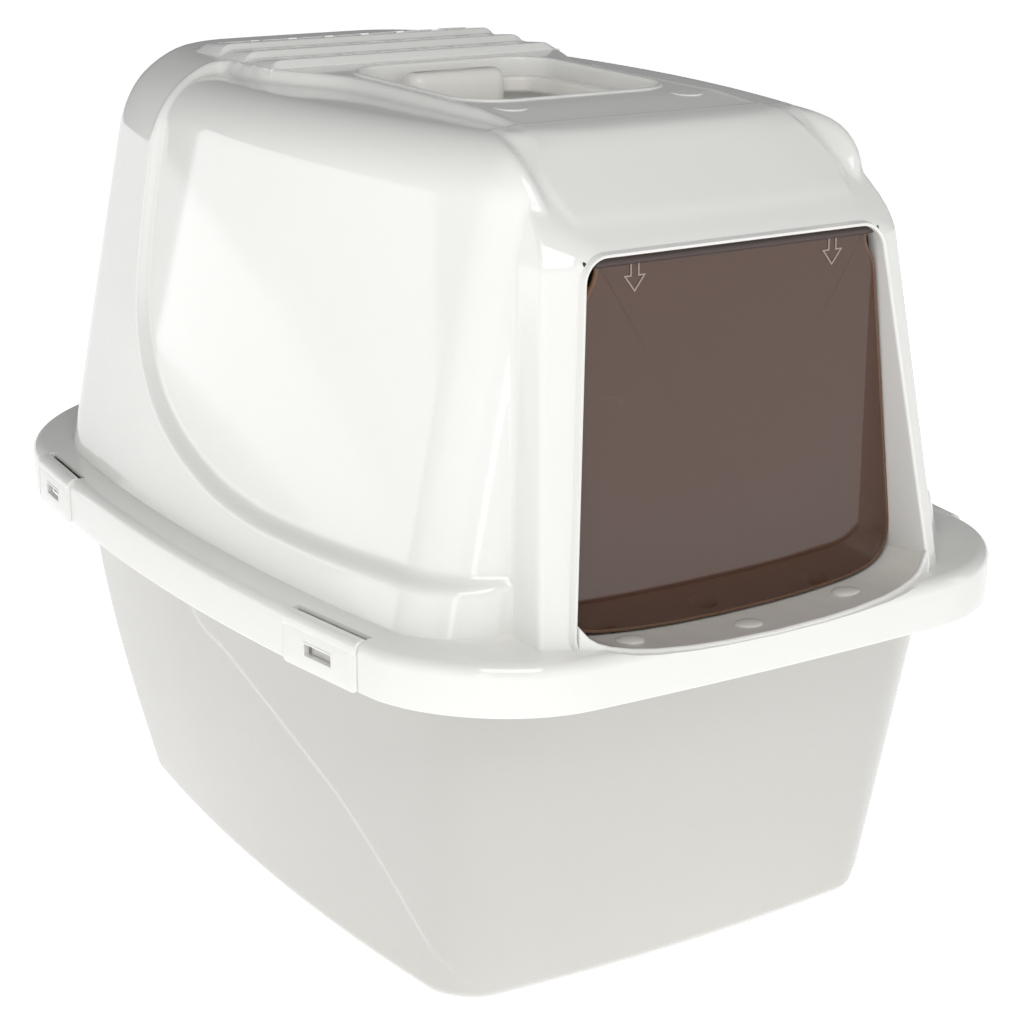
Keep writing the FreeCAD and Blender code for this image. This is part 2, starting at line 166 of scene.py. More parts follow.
def solid(rings, closed_ends=True):
    """Points and faces of a closed form: rings are rows of outline points, both ends closed by flat fans."""
    rings = np.asarray(rings, float)
    rows, cols = rings.shape[:2]
    faces = [tuple(f) for f in ring_faces(rows, cols)]
    points = rings.reshape(-1, 3)
    if closed_ends:
        for row in (0, rows - 1):
            middle = len(points)
            points = np.vstack([points, rings[row].mean(0)])
            base = row * cols
            faces += [(base + i, base + (i + 1) % cols, middle) for i in range(cols)]
    return points, faces


def tube_around(profiles):
    """A closed profile carried round a closed path: profiles is path by profile by 3."""
    p = np.asarray(profiles, float)
    rows, cols = p.shape[:2]
    p = np.concatenate([p, p[:1]], 0)
    return p.reshape(-1, 3), [tuple(f) for f in ring_faces(rows + 1, cols)]


def cut_away(obj, tools):
    """Cuts closed forms out of a piece, keeps the result as its own mesh and deletes the forms."""
    for tool in tools:
        m = obj.modifiers.new("form", "BOOLEAN")
        m.operation = "DIFFERENCE"
        m.solver = "MANIFOLD"
        m.object = tool
    graph = bpy.context.evaluated_depsgraph_get()
    result = bpy.data.meshes.new_from_object(obj.evaluated_get(graph))
    obj.modifiers.clear()
    old = obj.data
    obj.data = result
    bpy.data.meshes.remove(old)
    for tool in tools:
        bpy.data.objects.remove(tool)


def finish_jobs():
    """Shades every new piece, lets it ride on its body and hides the model's part that it stands for."""
    for obj, body, node, slot in jobs:
        mesh = obj.data
        mesh.polygons.foreach_set("use_smooth", np.ones(len(mesh.polygons), bool))
        mesh.set_sharp_from_angle(angle=math.radians(obj["sharp"]))
        del obj["sharp"]
        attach(obj, body)
        if node:
            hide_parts(node)


def spaced(*runs):
    """Joined runs of evenly spaced values: each run is (start, end, steps)."""
    out = [np.linspace(a, b, n, endpoint=False) for a, b, n in runs]
    return np.concatenate(out + [[runs[-1][1]]])


def rounded_outline(hx0, hx1, hy0, hy1, r, n=8):
    """Points of a rectangle with rounded corners, anticlockwise from its lower right corner: four quarter
    circles of radius r about the corners' centres."""
    out = []
    centres = ((hx1 - r, hy0 + r, -90), (hx1 - r, hy1 - r, 0), (hx0 + r, hy1 - r, 90), (hx0 + r, hy0 + r, 180))
    for cx, cy, a0 in centres:
        a = np.radians(np.linspace(a0, a0 + 90, n))
        out.append(np.stack([cx + r * np.cos(a), cy + r * np.sin(a)], -1))
    return np.concatenate(out)


# ---------------------------------------------------------------- bowed outlines, as rings
ROUND_CUBIC = 0.5523        # length of a cubic's handle that makes a quarter circle, as a share of the radius


def bowed_ring(z, w, front, rear, bow_front, bow_side, bow_rear, r_front, r_rear, taper=0.0, n_front=40,
               n_corner=24, n_side=70, n_rear=24):
    """A ring at height z, anticlockwise from the front left. Each side is a straight line plus 4 bow t (1 - t)
    outwards, and each corner is a cubic that leaves both sides along their tangents, 0.5523 of its radius."""
    a, b = np.array([-w + taper, front]), np.array([w - taper, front])
    c, d = np.array([w + taper, rear]), np.array([-w - taper, rear])
    sides = ((a, b, (0, -1), bow_front, n_front), (b, c, (1, 0), bow_side, n_side),
             (c, d, (0, 1), bow_rear, n_rear), (d, a, (-1, 0), bow_side, n_side))
    radii = (r_front, r_rear, r_rear, r_front)
    ends, runs = [], []
    for i, (p, q, out, bow, n) in enumerate(sides):
        length = np.hypot(*(q - p))
        t0, t1 = radii[i - 1] / length, 1.0 - radii[i] / length
        out = np.array(out, float)

        def at(t, p=p, q=q, out=out, bow=bow):
            t = np.asarray(t)[..., None]
            return p * (1 - t) + q * t + out * 4.0 * bow * t * (1 - t)

        def along(t, p=p, q=q, out=out, bow=bow):
            v = (q - p) + out * 4.0 * bow * (1 - 2 * t)
            return v / np.hypot(*v)

        runs.append(at(np.linspace(t0, t1, n, endpoint=False)))
        ends.append((at(t0), along(t0), at(t1), along(t1)))
    points = []
    for i in range(4):
        points.append(runs[i])
        p0, v0 = ends[i][2], ends[i][3]
        p3, v3 = ends[(i + 1) % 4][0], ends[(i + 1) % 4][1]
        reach = radii[i] * ROUND_CUBIC
        t = np.linspace(0, 1, n_corner, endpoint=False)[:, None]
        points.append(p0 * (1 - t) ** 3 + (p0 + v0 * reach) * 3 * t * (1 - t) ** 2
                      + (p3 - v3 * reach) * 3 * t ** 2 * (1 - t) + p3 * t ** 3)
    flat = np.concatenate(points)
    return np.column_stack([flat, np.full(len(flat), z)])


def rim_ring(z, inset, **counts):
    """The skirt's outline, drawn in by inset."""
    return bowed_ring(z, 175.0 - inset, -291.7 + inset, 295.7 - inset, 6.4, 31.4, 2.4, 68.0 - inset,
                      126.0 - inset, **counts)


def foot_ring(z, inset):
    """The outline of the hood's wall where it leaves the flange, drawn in by inset."""
    return bowed_ring(z, 162.0 - inset, -248.0 + inset, 252.0 - inset, 2.0, 23.5, 4.0, 36.0, 100.0)


# ---------------------------------------------------------------- the hood's form
def round_max(a, b, r):
    """Two faces meeting at a convex edge rounded to radius r: the larger of both, or near the edge the
    length of (a + r, b + r) less r."""
    return np.where((a > -r) & (b > -r), np.hypot(a + r, b + r) - r, np.maximum(a, b))


def round_min(a, b, r):
    """Two forms joined with a fillet of radius r: round_max of both turned inside out."""
    return -round_max(-a, -b, r)


def bowed_form(x, y, w, front, rear, bow_front, bow_side, bow_rear, r_front, r_rear, taper=0.0):
    """Distance outside an upright form, positive outside: each side is how far the point lies beyond a line
    plus 4 bow t (1 - t), and the sides meet by round_max."""
    t = (y - front) / (rear - front)
    side = np.abs(x) - (w + taper * (2 * t - 1) + 4 * bow_side * t * (1 - t))
    s = np.clip(x / (2 * w) + 0.5, 0.0, 1.0)
    back = y - (rear + 4 * bow_rear * s * (1 - s))
    fore = front - 4 * bow_front * s * (1 - s) - y
    return round_max(round_max(side, back, r_rear), fore, r_front)


def outer_form(x, y, z):
    """The cape over the rear and the sides: a bowed form that narrows as it rises, under a rounded roof."""
    up = (z - RIM_TOP) / (ROOF - RIM_TOP)
    plan = bowed_form(x, y, 162 - 60 * up, -248 + 7 * up, 252 - 14 * up, 2.0, 23.5 + 18 * up, 4.0,
                      36 - 8 * up, 100 - 34 * up)
    return round_max(plan, z - ROOF, 44.0)


def inner_form(x, y, z):
    """The set-back side panels: the same form, about 5 mm further in and 8 mm lower."""
    up = (z - RIM_TOP) / (ROOF - RIM_TOP)
    plan = bowed_form(x, y, 157 - 60 * up, -247 + 7 * up, 249 - 14 * up, 2.0, 22.5 + 18 * up, 3.0,
                      42 - 6 * up, 98 - 34 * up, 3.0)
    return round_max(plan, z - LEDGE, 26.0)


def smooth_line(points, n):
    """A smooth line through points: each coordinate is a cubic through its neighbours' chords."""
    p = np.asarray(points, float)
    step = np.hypot(*np.diff(p, axis=0).T)
    s = np.concatenate([[0], np.cumsum(step)])
    slope = np.gradient(p, s, axis=0)
    q = np.linspace(0, s[-1], n)
    i = np.clip(np.searchsorted(s, q, "right") - 1, 0, len(s) - 2)
    h = (s[i + 1] - s[i])[:, None]
    t = ((q - s[i])[:, None]) / h
    return ((2 * t ** 3 - 3 * t ** 2 + 1) * p[i] + (t ** 3 - 2 * t ** 2 + t) * h * slope[i]
            + (-2 * t ** 3 + 3 * t ** 2) * p[i + 1] + (t ** 3 - t ** 2) * h * slope[i + 1])


class Side_map:
    """Signed distance to a closed outline drawn on a side view, kept on a 1 mm grid: positive inside."""

    def __init__(self, outline, a0, a1, b0, b1):
        self.a0, self.b0 = a0, b0
        a, b = np.meshgrid(np.arange(a0, a1 + 1.0), np.arange(b0, b1 + 1.0), indexing="ij")
        best = np.full(a.shape, 1e9)
        inside = np.zeros(a.shape, bool)
        for (pa, pb), (qa, qb) in zip(outline, np.roll(outline, -1, 0)):
            ea, eb = qa - pa, qb - pb
            wa, wb = a - pa, b - pb
            t = np.clip((wa * ea + wb * eb) / max(ea * ea + eb * eb, 1e-9), 0, 1)
            best = np.minimum(best, (wa - ea * t) ** 2 + (wb - eb * t) ** 2)
            crosses = (pb > b) != (qb > b)
            with np.errstate(divide="ignore", invalid="ignore"):
                at = pa + (b - pb) * ea / (eb if eb else 1e-9)
            inside ^= crosses & (a < at)
        self.grid = np.where(inside, 1.0, -1.0) * np.sqrt(best)

    def __call__(self, a, b):
        i = np.clip(a - self.a0, 0, self.grid.shape[0] - 1.001)
        j = np.clip(b - self.b0, 0, self.grid.shape[1] - 1.001)
        i0, j0 = i.astype(int), j.astype(int)
        u, v = i - i0, j - j0
        g = self.grid
        return (g[i0, j0] * (1 - u) * (1 - v) + g[i0 + 1, j0] * u * (1 - v)
                + g[i0, j0 + 1] * (1 - u) * v + g[i0 + 1, j0 + 1] * u * v)


# the crease that sweeps down behind the side panel and forward above the plinth, as (y, z)
SWEEP = [(97, 470), (95.5, 430), (94, 384), (91, 348), (82, 313), (65, 289), (42, 270), (14, 256), (-10, 248),
         (-38, 241), (-79, 236), (-138, 235), (-209, 237), (-330, 238)]
panel_map = Side_map(np.vstack([smooth_line(SWEEP, 90), [(-330, 520), (97, 520)]]), -320, 200, 200, 500)
# the ridge beside the deck, as half width at y
RIDGE_Y = [-260, -208, -160, -90, -20, 2, 20, 44, 60, 130]
RIDGE_X = [84, 76, 75, 74, 74, 77, 86, 96, 99, 99]


def ridge(y):
    fine_y = np.linspace(-260, 130, 79)
    line = np.interp(fine_y, RIDGE_Y, RIDGE_X)
    line = np.convolve(np.pad(line, 3, mode="edge"), np.ones(7) / 7, mode="valid")
    return np.interp(y, fine_y, line)


# the deck's height at y, and the half width between the door surround's sides at z
DECK_Y = [-400.0, -196.0, -139.0, 46.0, 60.0, 300.0]
DECK_Z = [423.0, 438.8, 443.4, 446.3, 446.8, 447.0]
PILLAR_Z = [195.0, 386.0, 432.0, 470.0]
PILLAR_HALF = [124.0, 106.0, 94.0, 66.0]
BROW_Y = -258.5                         # where the sloping brow starts, at the doorway's top
BROW_RUN, BROW_RISE = 62.5, 49.4        # its run backwards and its rise
BROW_LENGTH = 79.67
# the two slanted planes of the door surround, each as a point and the way it faces
CHEEK = (np.array([81.0, -257.0, 397.0]), np.array([0.184, -0.544, 0.819]))
CHAMFER = (np.array([113.0, -300.0, 150.0]), np.array([0.6586, -0.7318, 0.1754]))


def plane(x, y, z, at):
    """Distance beyond a plane, the same on both sides of the middle."""
    (px, py, pz), (nx, ny, nz) = at
    return (np.abs(x) - px) * nx + (y - py) * ny + (z - pz) * nz


def deck_height(y):
    return np.interp(y, DECK_Y, DECK_Z)


def brow_plane(y, z):
    """Distance in front of the brow, the slope between the doorway and the deck."""
    return (-(y - BROW_Y) * BROW_RISE + (z - DOOR_TOP) * BROW_RUN) / BROW_LENGTH


def front_y(z):
    """The door surround's front face leans back: its y at height z."""
    return -284.5 + (z - 206.0) * 26.0 / 183.6


def door_form(x, y, z):
    """The door surround: the leaning front, the brow, the cheeks, the turned-back pillars and the deck, each a
    plane, met one after another by round_max."""
    fore = (front_y(z) - y) * 0.99
    side = (np.abs(x) - np.interp(z, PILLAR_Z, PILLAR_HALF)) * 0.99
    body = round_max(fore, brow_plane(y, z), 5.0)
    body = round_max(body, plane(x, y, z, CHEEK), 6.0)
    body = round_max(body, plane(x, y, z, CHAMFER) + 1.6, 14.0)
    body = round_max(body, side, 1.2)
    body = round_max(body, z - deck_height(y), 2.5)
    return round_max(body, y + 175.0, 2.0)


def hood_form(x, y, z):
    """The whole outside of the hood: the side panels, the cape behind and above them, cut back along the
    crease, and the door surround, joined by round_min."""
    brow = brow_plane(y, z)
    inner = inner_form(x, y, z)
    # the step's wall is slanted, so its face can be seen from outside
    edge = -round_max(-panel_map(y, z), -(np.abs(x) - ridge(y)), 6.0)
    panel = 0.9 * edge + 0.42 * (inner - 3.0)
    cape = round_max(outer_form(x, y, z), z - deck_height(y), 2.5)
    cape = round_max(cape, brow, 6.0)
    # a low bead, 0.6 times a bell curve of the distance to the crease, that fades out at the brow
    cape = cape - 0.6 * np.exp(-((edge + 3.0) / 2.2) ** 2) * np.clip((y + 185.0) / 40.0, 0.0, 1.0)
    cape = round_max(cape, panel, 2.2)
    # the side panels end behind the brow, and less and less so towards the outside
    side = round_max(inner, brow + 4.0 - 1.5 * np.clip(np.abs(x) - 88.0, 0.0, 60.0), 9.0)
    body = round_min(cape, side, 2.4)
    return round_min(body, door_form(x, y, z), 2.0)


def cabin_form(x, y, z):
    """The inside of the hood: the side panels' form drawn in by the wall, and the door surround's."""
    room = np.maximum(inner_form(x, y, z) + WALL - 0.2, z - deck_height(y) + WALL)
    return np.minimum(np.maximum(room, brow_plane(y, z) + WALL), door_form(x, y, z) + WALL)


def first_touch(start, aim, form, reach):
    """Walks from start against aim until the form is met: each step is 0.8 of the form's own distance."""
    gone = np.zeros(start.shape[:-1])
    for _ in range(46):
        p = start - aim * gone[..., None]
        gone = np.minimum(gone + form(p[..., 0], p[..., 1], p[..., 2]) * 0.8, reach)
    return start - aim * gone[..., None]


def hood_columns(z, inset):
    """Half outline near the hood at height z, from the door's middle round to the rear's middle, and the way
    each column faces, in degrees from the front. Columns crowd at the pillars and along the side panel."""
    up = (z - RIM_TOP) / (ROOF - RIM_TOP)
    yf = front_y(z) if z < DOOR_TOP else BROW_Y + (z - DOOR_TOP) * BROW_RUN / BROW_RISE
    pillar = np.interp(z, PILLAR_Z, PILLAR_HALF)
    inner = pillar - 13.0
    w, front, rear = 160 - 60 * up - inset, -245.0 + 7 * up + inset * 0.5, 251.0 - 14 * up - inset
    bow = 23.0 + 18 * up
    front_run = np.concatenate([np.linspace(0, 0.86 * inner, 12, endpoint=False),
                                np.linspace(0.86 * inner, inner, 10, endpoint=False)])
    part1 = np.column_stack([front_run, np.full(22, yf)])
    t = np.linspace(0, 1, 14, endpoint=False)
    part2 = np.column_stack([inner + 13 * t, yf + 12 * t])
    t = np.linspace(0, 1, 12, endpoint=False)
    foot_y = max(front + 6, yf + 14)
    part3 = np.column_stack([pillar + 0 * t, (yf + 12) * (1 - t) + foot_y * t])

    def side_x(y):
        s = (y - front) / (rear - front)
        return w + 4 * bow * s * (1 - s)

    r = 40.0
    t = np.linspace(0, 1, 30, endpoint=False)
    a, c = np.array([pillar, foot_y]), np.array([side_x(foot_y + r), foot_y + r])
    b = np.array([max(c[0] - 2, pillar), foot_y])
    part4 = (a * (1 - t[:, None]) ** 2 + b * 2 * t[:, None] * (1 - t[:, None]) + c * t[:, None] ** 2)
    ys = np.linspace(c[1], 108.0, 160, endpoint=False)
    part5 = np.column_stack([side_x(ys), ys])
    r = 100 - 34 * up - inset * 0.5
    ys = np.linspace(108.0, rear - r, 10, endpoint=False)
    part6 = np.column_stack([side_x(ys), ys])
    t = np.linspace(0, 1, 36, endpoint=False)[:, None]
    a, c = np.array([side_x(rear - r), rear - r]), np.array([w - r, rear])
    b = np.array([w + 2, rear])
    part7 = a * (1 - t) ** 2 + b * 2 * t * (1 - t) + c * t ** 2
    part8 = np.column_stack([np.linspace(w - r, 0, 12), np.full(12, rear)])
    line = np.concatenate([part1, part2, part3, part4, part5, part6, part7, part8])
    stops = np.cumsum([0, 22, 14, 12, 30, 160, 10, 36, 11])
    facing = np.interp(np.arange(len(line)), stops, [0, 8, 45, 48, 86, 95, 100, 176, 180])
    return line, facing


SHOULDER, DOME_R = 412.0, 27.0          # where the guide rings start to lean inwards, and their radius
ABOVE_ROOF = 470.0                      # where the rays that look down on the roof start


def hood_skin(form, wall, lean, roof):
    """Rings of points on a form: level rows up the wall, then rows that lean over the shoulder, then rows
    drawn in to a line along the roof's middle. Each point is where a ray from outside meets the form."""
    rings = [(z, 0.0, 0.0) for z in wall]
    for turn in lean:
        a = math.radians(turn)
        rings.append((SHOULDER + DOME_R * math.sin(a), DOME_R * (1 - math.cos(a)), turn))
    starts, aims = [], []
    for z, inset, turn in rings:
        line, facing = hood_columns(z, inset)
        f, a = np.radians(facing), math.radians(turn)
        aim = np.column_stack([np.sin(f) * math.cos(a), -np.cos(f) * math.cos(a), np.full(len(f), math.sin(a))])
        starts.append(np.column_stack([line, np.full(len(line), z)]) + aim * 16.0)
        aims.append(aim)
    met = first_touch(np.array(starts), np.array(aims), form, 60.0)
    edge = met[-1]
    spine = np.column_stack([np.zeros(len(edge)), np.clip(edge[:, 1] * 0.6, -120, 110)])
    tops = []
    for f in roof:
        flat = edge[:, :2] * (1 - f) + spine * f
        tops.append(np.column_stack([flat, np.full(len(flat), ABOVE_ROOF)]))
    tops = np.array(tops)
    down = np.broadcast_to(np.array([0.0, 0.0, 1.0]), tops.shape)
    tops = first_touch(tops, down, form, 60.0)
    tops[-1, :, 0] = 0.0
    half = np.concatenate([met, tops], 0)
    mirrored = half[:, ::-1][:, 1:-1] * np.array([-1.0, 1.0, 1.0])
    return np.concatenate([half, mirrored], 1)


SHELL_FOOT = 209.6                      # the wall starts inside the flange


def hood_shell():
    """Outside and inside skins joined along the foot and closed along the roof's middle."""
    wall = spaced((SHELL_FOOT, 246.0, 20), (246.0, SHOULDER, 82))
    lean = spaced((0.0, 90.0, 14))[1:]
    roof = spaced((0.0, 0.14, 5), (0.14, 0.52, 32), (0.52, 1.0, 4))[1:]
    out = hood_skin(hood_form, wall, lean, roof)
    wall = spaced((SHELL_FOOT, 389.0, 7), (389.0, SHOULDER, 2))
    lean = spaced((0.0, 90.0, 6))[1:]
    inside = hood_skin(cabin_form, wall, lean, spaced((0.0, 1.0, 6))[1:])
    cols = out.shape[1]
    points = np.concatenate([out.reshape(-1, 3), inside.reshape(-1, 3)])
    first = len(out) * cols
    faces = np.concatenate([ring_faces(len(out), cols), ring_faces(len(inside), cols)[:, ::-1] + first])
    c = np.arange(cols)
    n = (c + 1) % cols
    faces = np.concatenate([faces, np.stack([c, n, n + first, c + first], -1)])
    return make("hood_shell", points, faces.tolist(), HOOD_WHITE, "hood", "hood", "hood_plastic", sharp=48.0)


def door_outline(grow, bottom=201.5, n=14):
    """The doorway seen from the front, as (x, z), grown outwards: a trapezoid whose corners are arcs that touch
    both of their sides."""
    slope = (107.5 - 87.3) / (386.0 - 232.0)
    top_half = 87.3 - slope * (DOOR_TOP - 386.0)
    low_half = 107.5 + slope * (232.0 - bottom) * 0.3
    corners = np.array([(low_half, bottom), (top_half, DOOR_TOP), (-top_half, DOOR_TOP), (-low_half, bottom)])
    r = 12.5
    out = []
    for i in range(4):
        p, q, s = corners[i - 1], corners[i], corners[(i + 1) % 4]
        a, b = (p - q) / np.hypot(*(p - q)), (s - q) / np.hypot(*(s - q))
        half = math.acos(np.clip(a @ b, -1, 1)) / 2
        centre = q + (a + b) / np.hypot(*(a + b)) * (r / math.sin(half))
        t0 = q + a * (r / math.tan(half))
        t1 = q + b * (r / math.tan(half))
        a0 = math.atan2(*(t0 - centre)[::-1])
        a1 = math.atan2(*(t1 - centre)[::-1])
        a1 = a0 + (a1 - a0 + math.pi) % (2 * math.pi) - math.pi
        ang = np.linspace(a0, a1, n)
        out.append(centre + (r + grow) * np.column_stack([np.cos(ang), np.sin(ang)]))
    return np.concatenate(out)


def prism_y(outline, y0, y1):
    """A prism along Y from an outline in (x, z)."""
    flat = [np.column_stack([outline[:, 0], np.full(len(outline), y), outline[:, 1]]) for y in (y0, y1)]
    return solid(flat)


def prism_z(outline, z0, z1):
    """A prism along Z from an outline in (x, y)."""
    return solid([np.column_stack([outline, np.full(len(outline), z)]) for z in (z0, z1)])


def cutter(points, faces):
    """A closed form that only cuts another piece."""
    return make("cutter", points, faces, None, None, None, None)


DOOR_CUT_Y = (-330, -200)               # reach of the forms that cut the doorway
ROOF_CUT_Z = (405, 480)                 # reach of the forms that cut the roof
WELL_GAP = 1.2                          # the shell's opening is this much wider than the well

shell = hood_shell()
cut_away(shell, [
    cutter(*prism_y(door_outline(1.4), *DOOR_CUT_Y)),
    cutter(*prism_z(rounded_outline(-WELL_HALF - WELL_GAP, WELL_HALF + WELL_GAP, WELL_FRONT - WELL_GAP,
                                    WELL_REAR + WELL_GAP, 26.0), *ROOF_CUT_Z)),
    cutter(*prism_z(rounded_outline(-89, 89, 50, 148, 8.0), *ROOF_CUT_Z)),
    cutter(*prism_z(rounded_outline(-112, 112, -300, -281.4, 3.0), 190, 213)),
])


# ---------------------------------------------------------------- flange and skirt
def flange():
    """The profile of skirt, rounded top edge and flange, carried round the rim: outside from the skirt's foot
    up to the hood's wall, then back along the underside."""
    out = [rim_ring(186.6, 2.6), rim_ring(186.0, 2.0), rim_ring(186.0, 0.7), rim_ring(186.5, 0.15),
           rim_ring(187.4, 0.0), rim_ring(196.0, 0.0), rim_ring(205.2, 0.0)]
    for turn in np.linspace(10, 90, 9):
        a = math.radians(turn)
        out.append(rim_ring(205.2 + 6.8 * math.sin(a), 6.5 * (1 - math.cos(a))))
    edge, foot = rim_ring(212.0, 6.5), foot_ring(212.0, 1.5)
    for f in (0.25, 0.5, 0.75, 0.86):
        out.append(edge * (1 - f) + foot * f)
    out.append(edge * 0.04 + foot * 0.96 + np.array([0, 0, 0.8]))
    out.append(foot_ring(213.6, 2.2))
    out.append(foot_ring(213.6, 4.2))
    out.append(foot_ring(209.4, 4.2))
    out.append(rim_ring(209.4, 9.0))
    for turn in (60, 30, 0):
        a = math.radians(turn)
        out.append(rim_ring(204.0 + 5.4 * math.sin(a), 2.6 + 6.4 * (1 - math.cos(a))))
    out.append(rim_ring(195.0, 2.6))
    out.append(out[0])
    rings = np.array(out)
    rows, cols = rings.shape[:2]
    return make("hood_flange", rings.reshape(-1, 3), ring_faces(rows, cols).tolist(), HOOD_WHITE, "hood",
                "hood", "hood_plastic", sharp=40.0)


# each clip's x, y and the way it faces, in degrees from +X
CLIPS = {
    "clip_front_left": (-193.3, -188.0, 188.0),
    "clip_front_right": (193.3, -188.0, -8.0),
    "clip_rear_left": (-200.4, 135.0, 175.0),
    "clip_rear_right": (200.4, 135.0, 5.0),
}


def put(points, x, y, facing):
    """Turns points from a clip's own frame (+X outwards, Y along the rim) to its place."""
    a = math.radians(facing)
    p = np.asarray(points, float)
    return np.column_stack([x + p[:, 0] * math.cos(a) - p[:, 1] * math.sin(a),
                            y + p[:, 0] * math.sin(a) + p[:, 1] * math.cos(a), p[:, 2]])


def circle(cx, cz, r, n):
    a = np.linspace(0, 2 * math.pi, n, endpoint=False)
    return np.column_stack([cx + r * np.cos(a), cz + r * np.sin(a)])


# the doorway's sill: its front edge as (half width, y, z), and the height of its rear edge under the flap
SILL_X = [0.0, 30.0, 50.0, 70.0, 82.0, 92.0, 98.0, 102.0, 106.5]
SILL_Y = [-297.2, -296.8, -295.8, -294.0, -292.0, -289.6, -287.4, -285.4, -283.2]
SILL_Z = [205.2, 205.7, 206.6, 208.3, 210.0, 212.2, 214.4, 217.2, 223.0]
SILL_REAR_Z = [200.3, 200.8, 201.8, 203.5, 204.9, 207.4, 210.0, 213.0, 218.5]


def sill_front(x):
    """y and z of the sill's front edge at x, the same on both sides."""
    a = np.abs(x)
    return np.interp(a, SILL_X, SILL_Y), np.interp(a, SILL_X, SILL_Z)


def sill_rear_z(x):
    return np.interp(np.abs(x), SILL_X, SILL_REAR_Z)


SILL_HALF = 104.0                       # half width of the flange's opening
across = np.linspace(-SILL_HALF, SILL_HALF, 105)
sill_y, sill_z = sill_front(across)
over_sill = np.vstack([np.column_stack([across, sill_z - 1.3]), [(SILL_HALF, 240.0), (-SILL_HALF, 240.0)]])
behind_sill = np.vstack([np.column_stack([across, sill_y + 2.8]), [(SILL_HALF, -200.0), (-SILL_HALF, -200.0)]])

skirt = flange()
tools = [cutter(*prism_y(over_sill, *DOOR_CUT_Y)), cutter(*prism_z(behind_sill, 180, 230))]
for x, y, facing in CLIPS.values():
    pocket, faces = prism_y(rounded_outline(-9.9, 14.0, 180.0, 216.0, 2.0, 4), -30.4, 30.4)
    tools.append(cutter(put(pocket, x, y, facing), faces))
cut_away(skirt, tools)


# ---------------------------------------------------------------- doorway lip and side walls
def door_lip():
    """A rounded lip and the wall behind it, carried round the doorway from one foot over the top to the other:
    the profile blends from the doorway's outline in front to the same one with straight feet behind."""
    arc = 22
    front = door_outline(0.0, 204.6, arc)
    deep = front.copy()
    foot = np.arange(arc) / (arc - 1.0)
    deep[:arc] = np.column_stack([108.7 - 0.131 * 17.0 * foot, 199.0 + 17.0 * foot])
    deep[-arc:] = deep[:arc][::-1] * np.array([-1.0, 1.0])

    def even(line):
        """320 points at the same shares of the front line's length, so that both lines match."""
        run = np.concatenate([[0], np.cumsum(np.hypot(*np.diff(front, axis=0).T))])
        at = np.linspace(0, run[-1], 320)
        return np.column_stack([np.interp(at, run, line[:, 0]), np.interp(at, run, line[:, 1])])

    def outwards(line):
        along = np.gradient(line, axis=0)
        along /= np.hypot(*along.T)[:, None]
        out = np.column_stack([along[:, 1], -along[:, 0]])
        return out * np.sign(np.sum(out * (line - [0, 300]), 1))[:, None]

    front, deep = even(front), even(deep)
    out_front, out_deep = outwards(front), outwards(deep)
    # profile as (outwards from the doorway's edge, back from the front face, share of the wall's full depth)
    lip = [(1.9, 0.8, 0), (1.7, -0.02, 0), (1.2, -0.14, 0), (0.7, -0.05, 0), (0.25, 0.35, 0), (0.02, 1.0, 0),
           (0.0, 1.8, 0), (0.0, 0.0, 0.5), (0.0, 0.0, 1.0), (0.8, 0.6, 1.0), (2.2, 0.6, 1.0), (2.6, 0.0, 1.0),
           (2.6, 0.0, 0.5), (2.6, 3.0, 0)]
    rings = []
    for side, back, share in lip:
        p = (front + out_front * side) * (1 - share) + (deep + out_deep * side) * share
        y0 = front_y(p[:, 1])
        y = (y0 + back) * (1 - share) + (-248.0 + back) * share
        rings.append(np.column_stack([p[:, 0], y, p[:, 1]]))
    pts, faces = solid(np.transpose(np.array(rings), (1, 0, 2)))
    return make("door_lip", pts, faces, HOOD_WHITE, "hood", "hood", "hood_plastic", sharp=45.0)


door_lip()


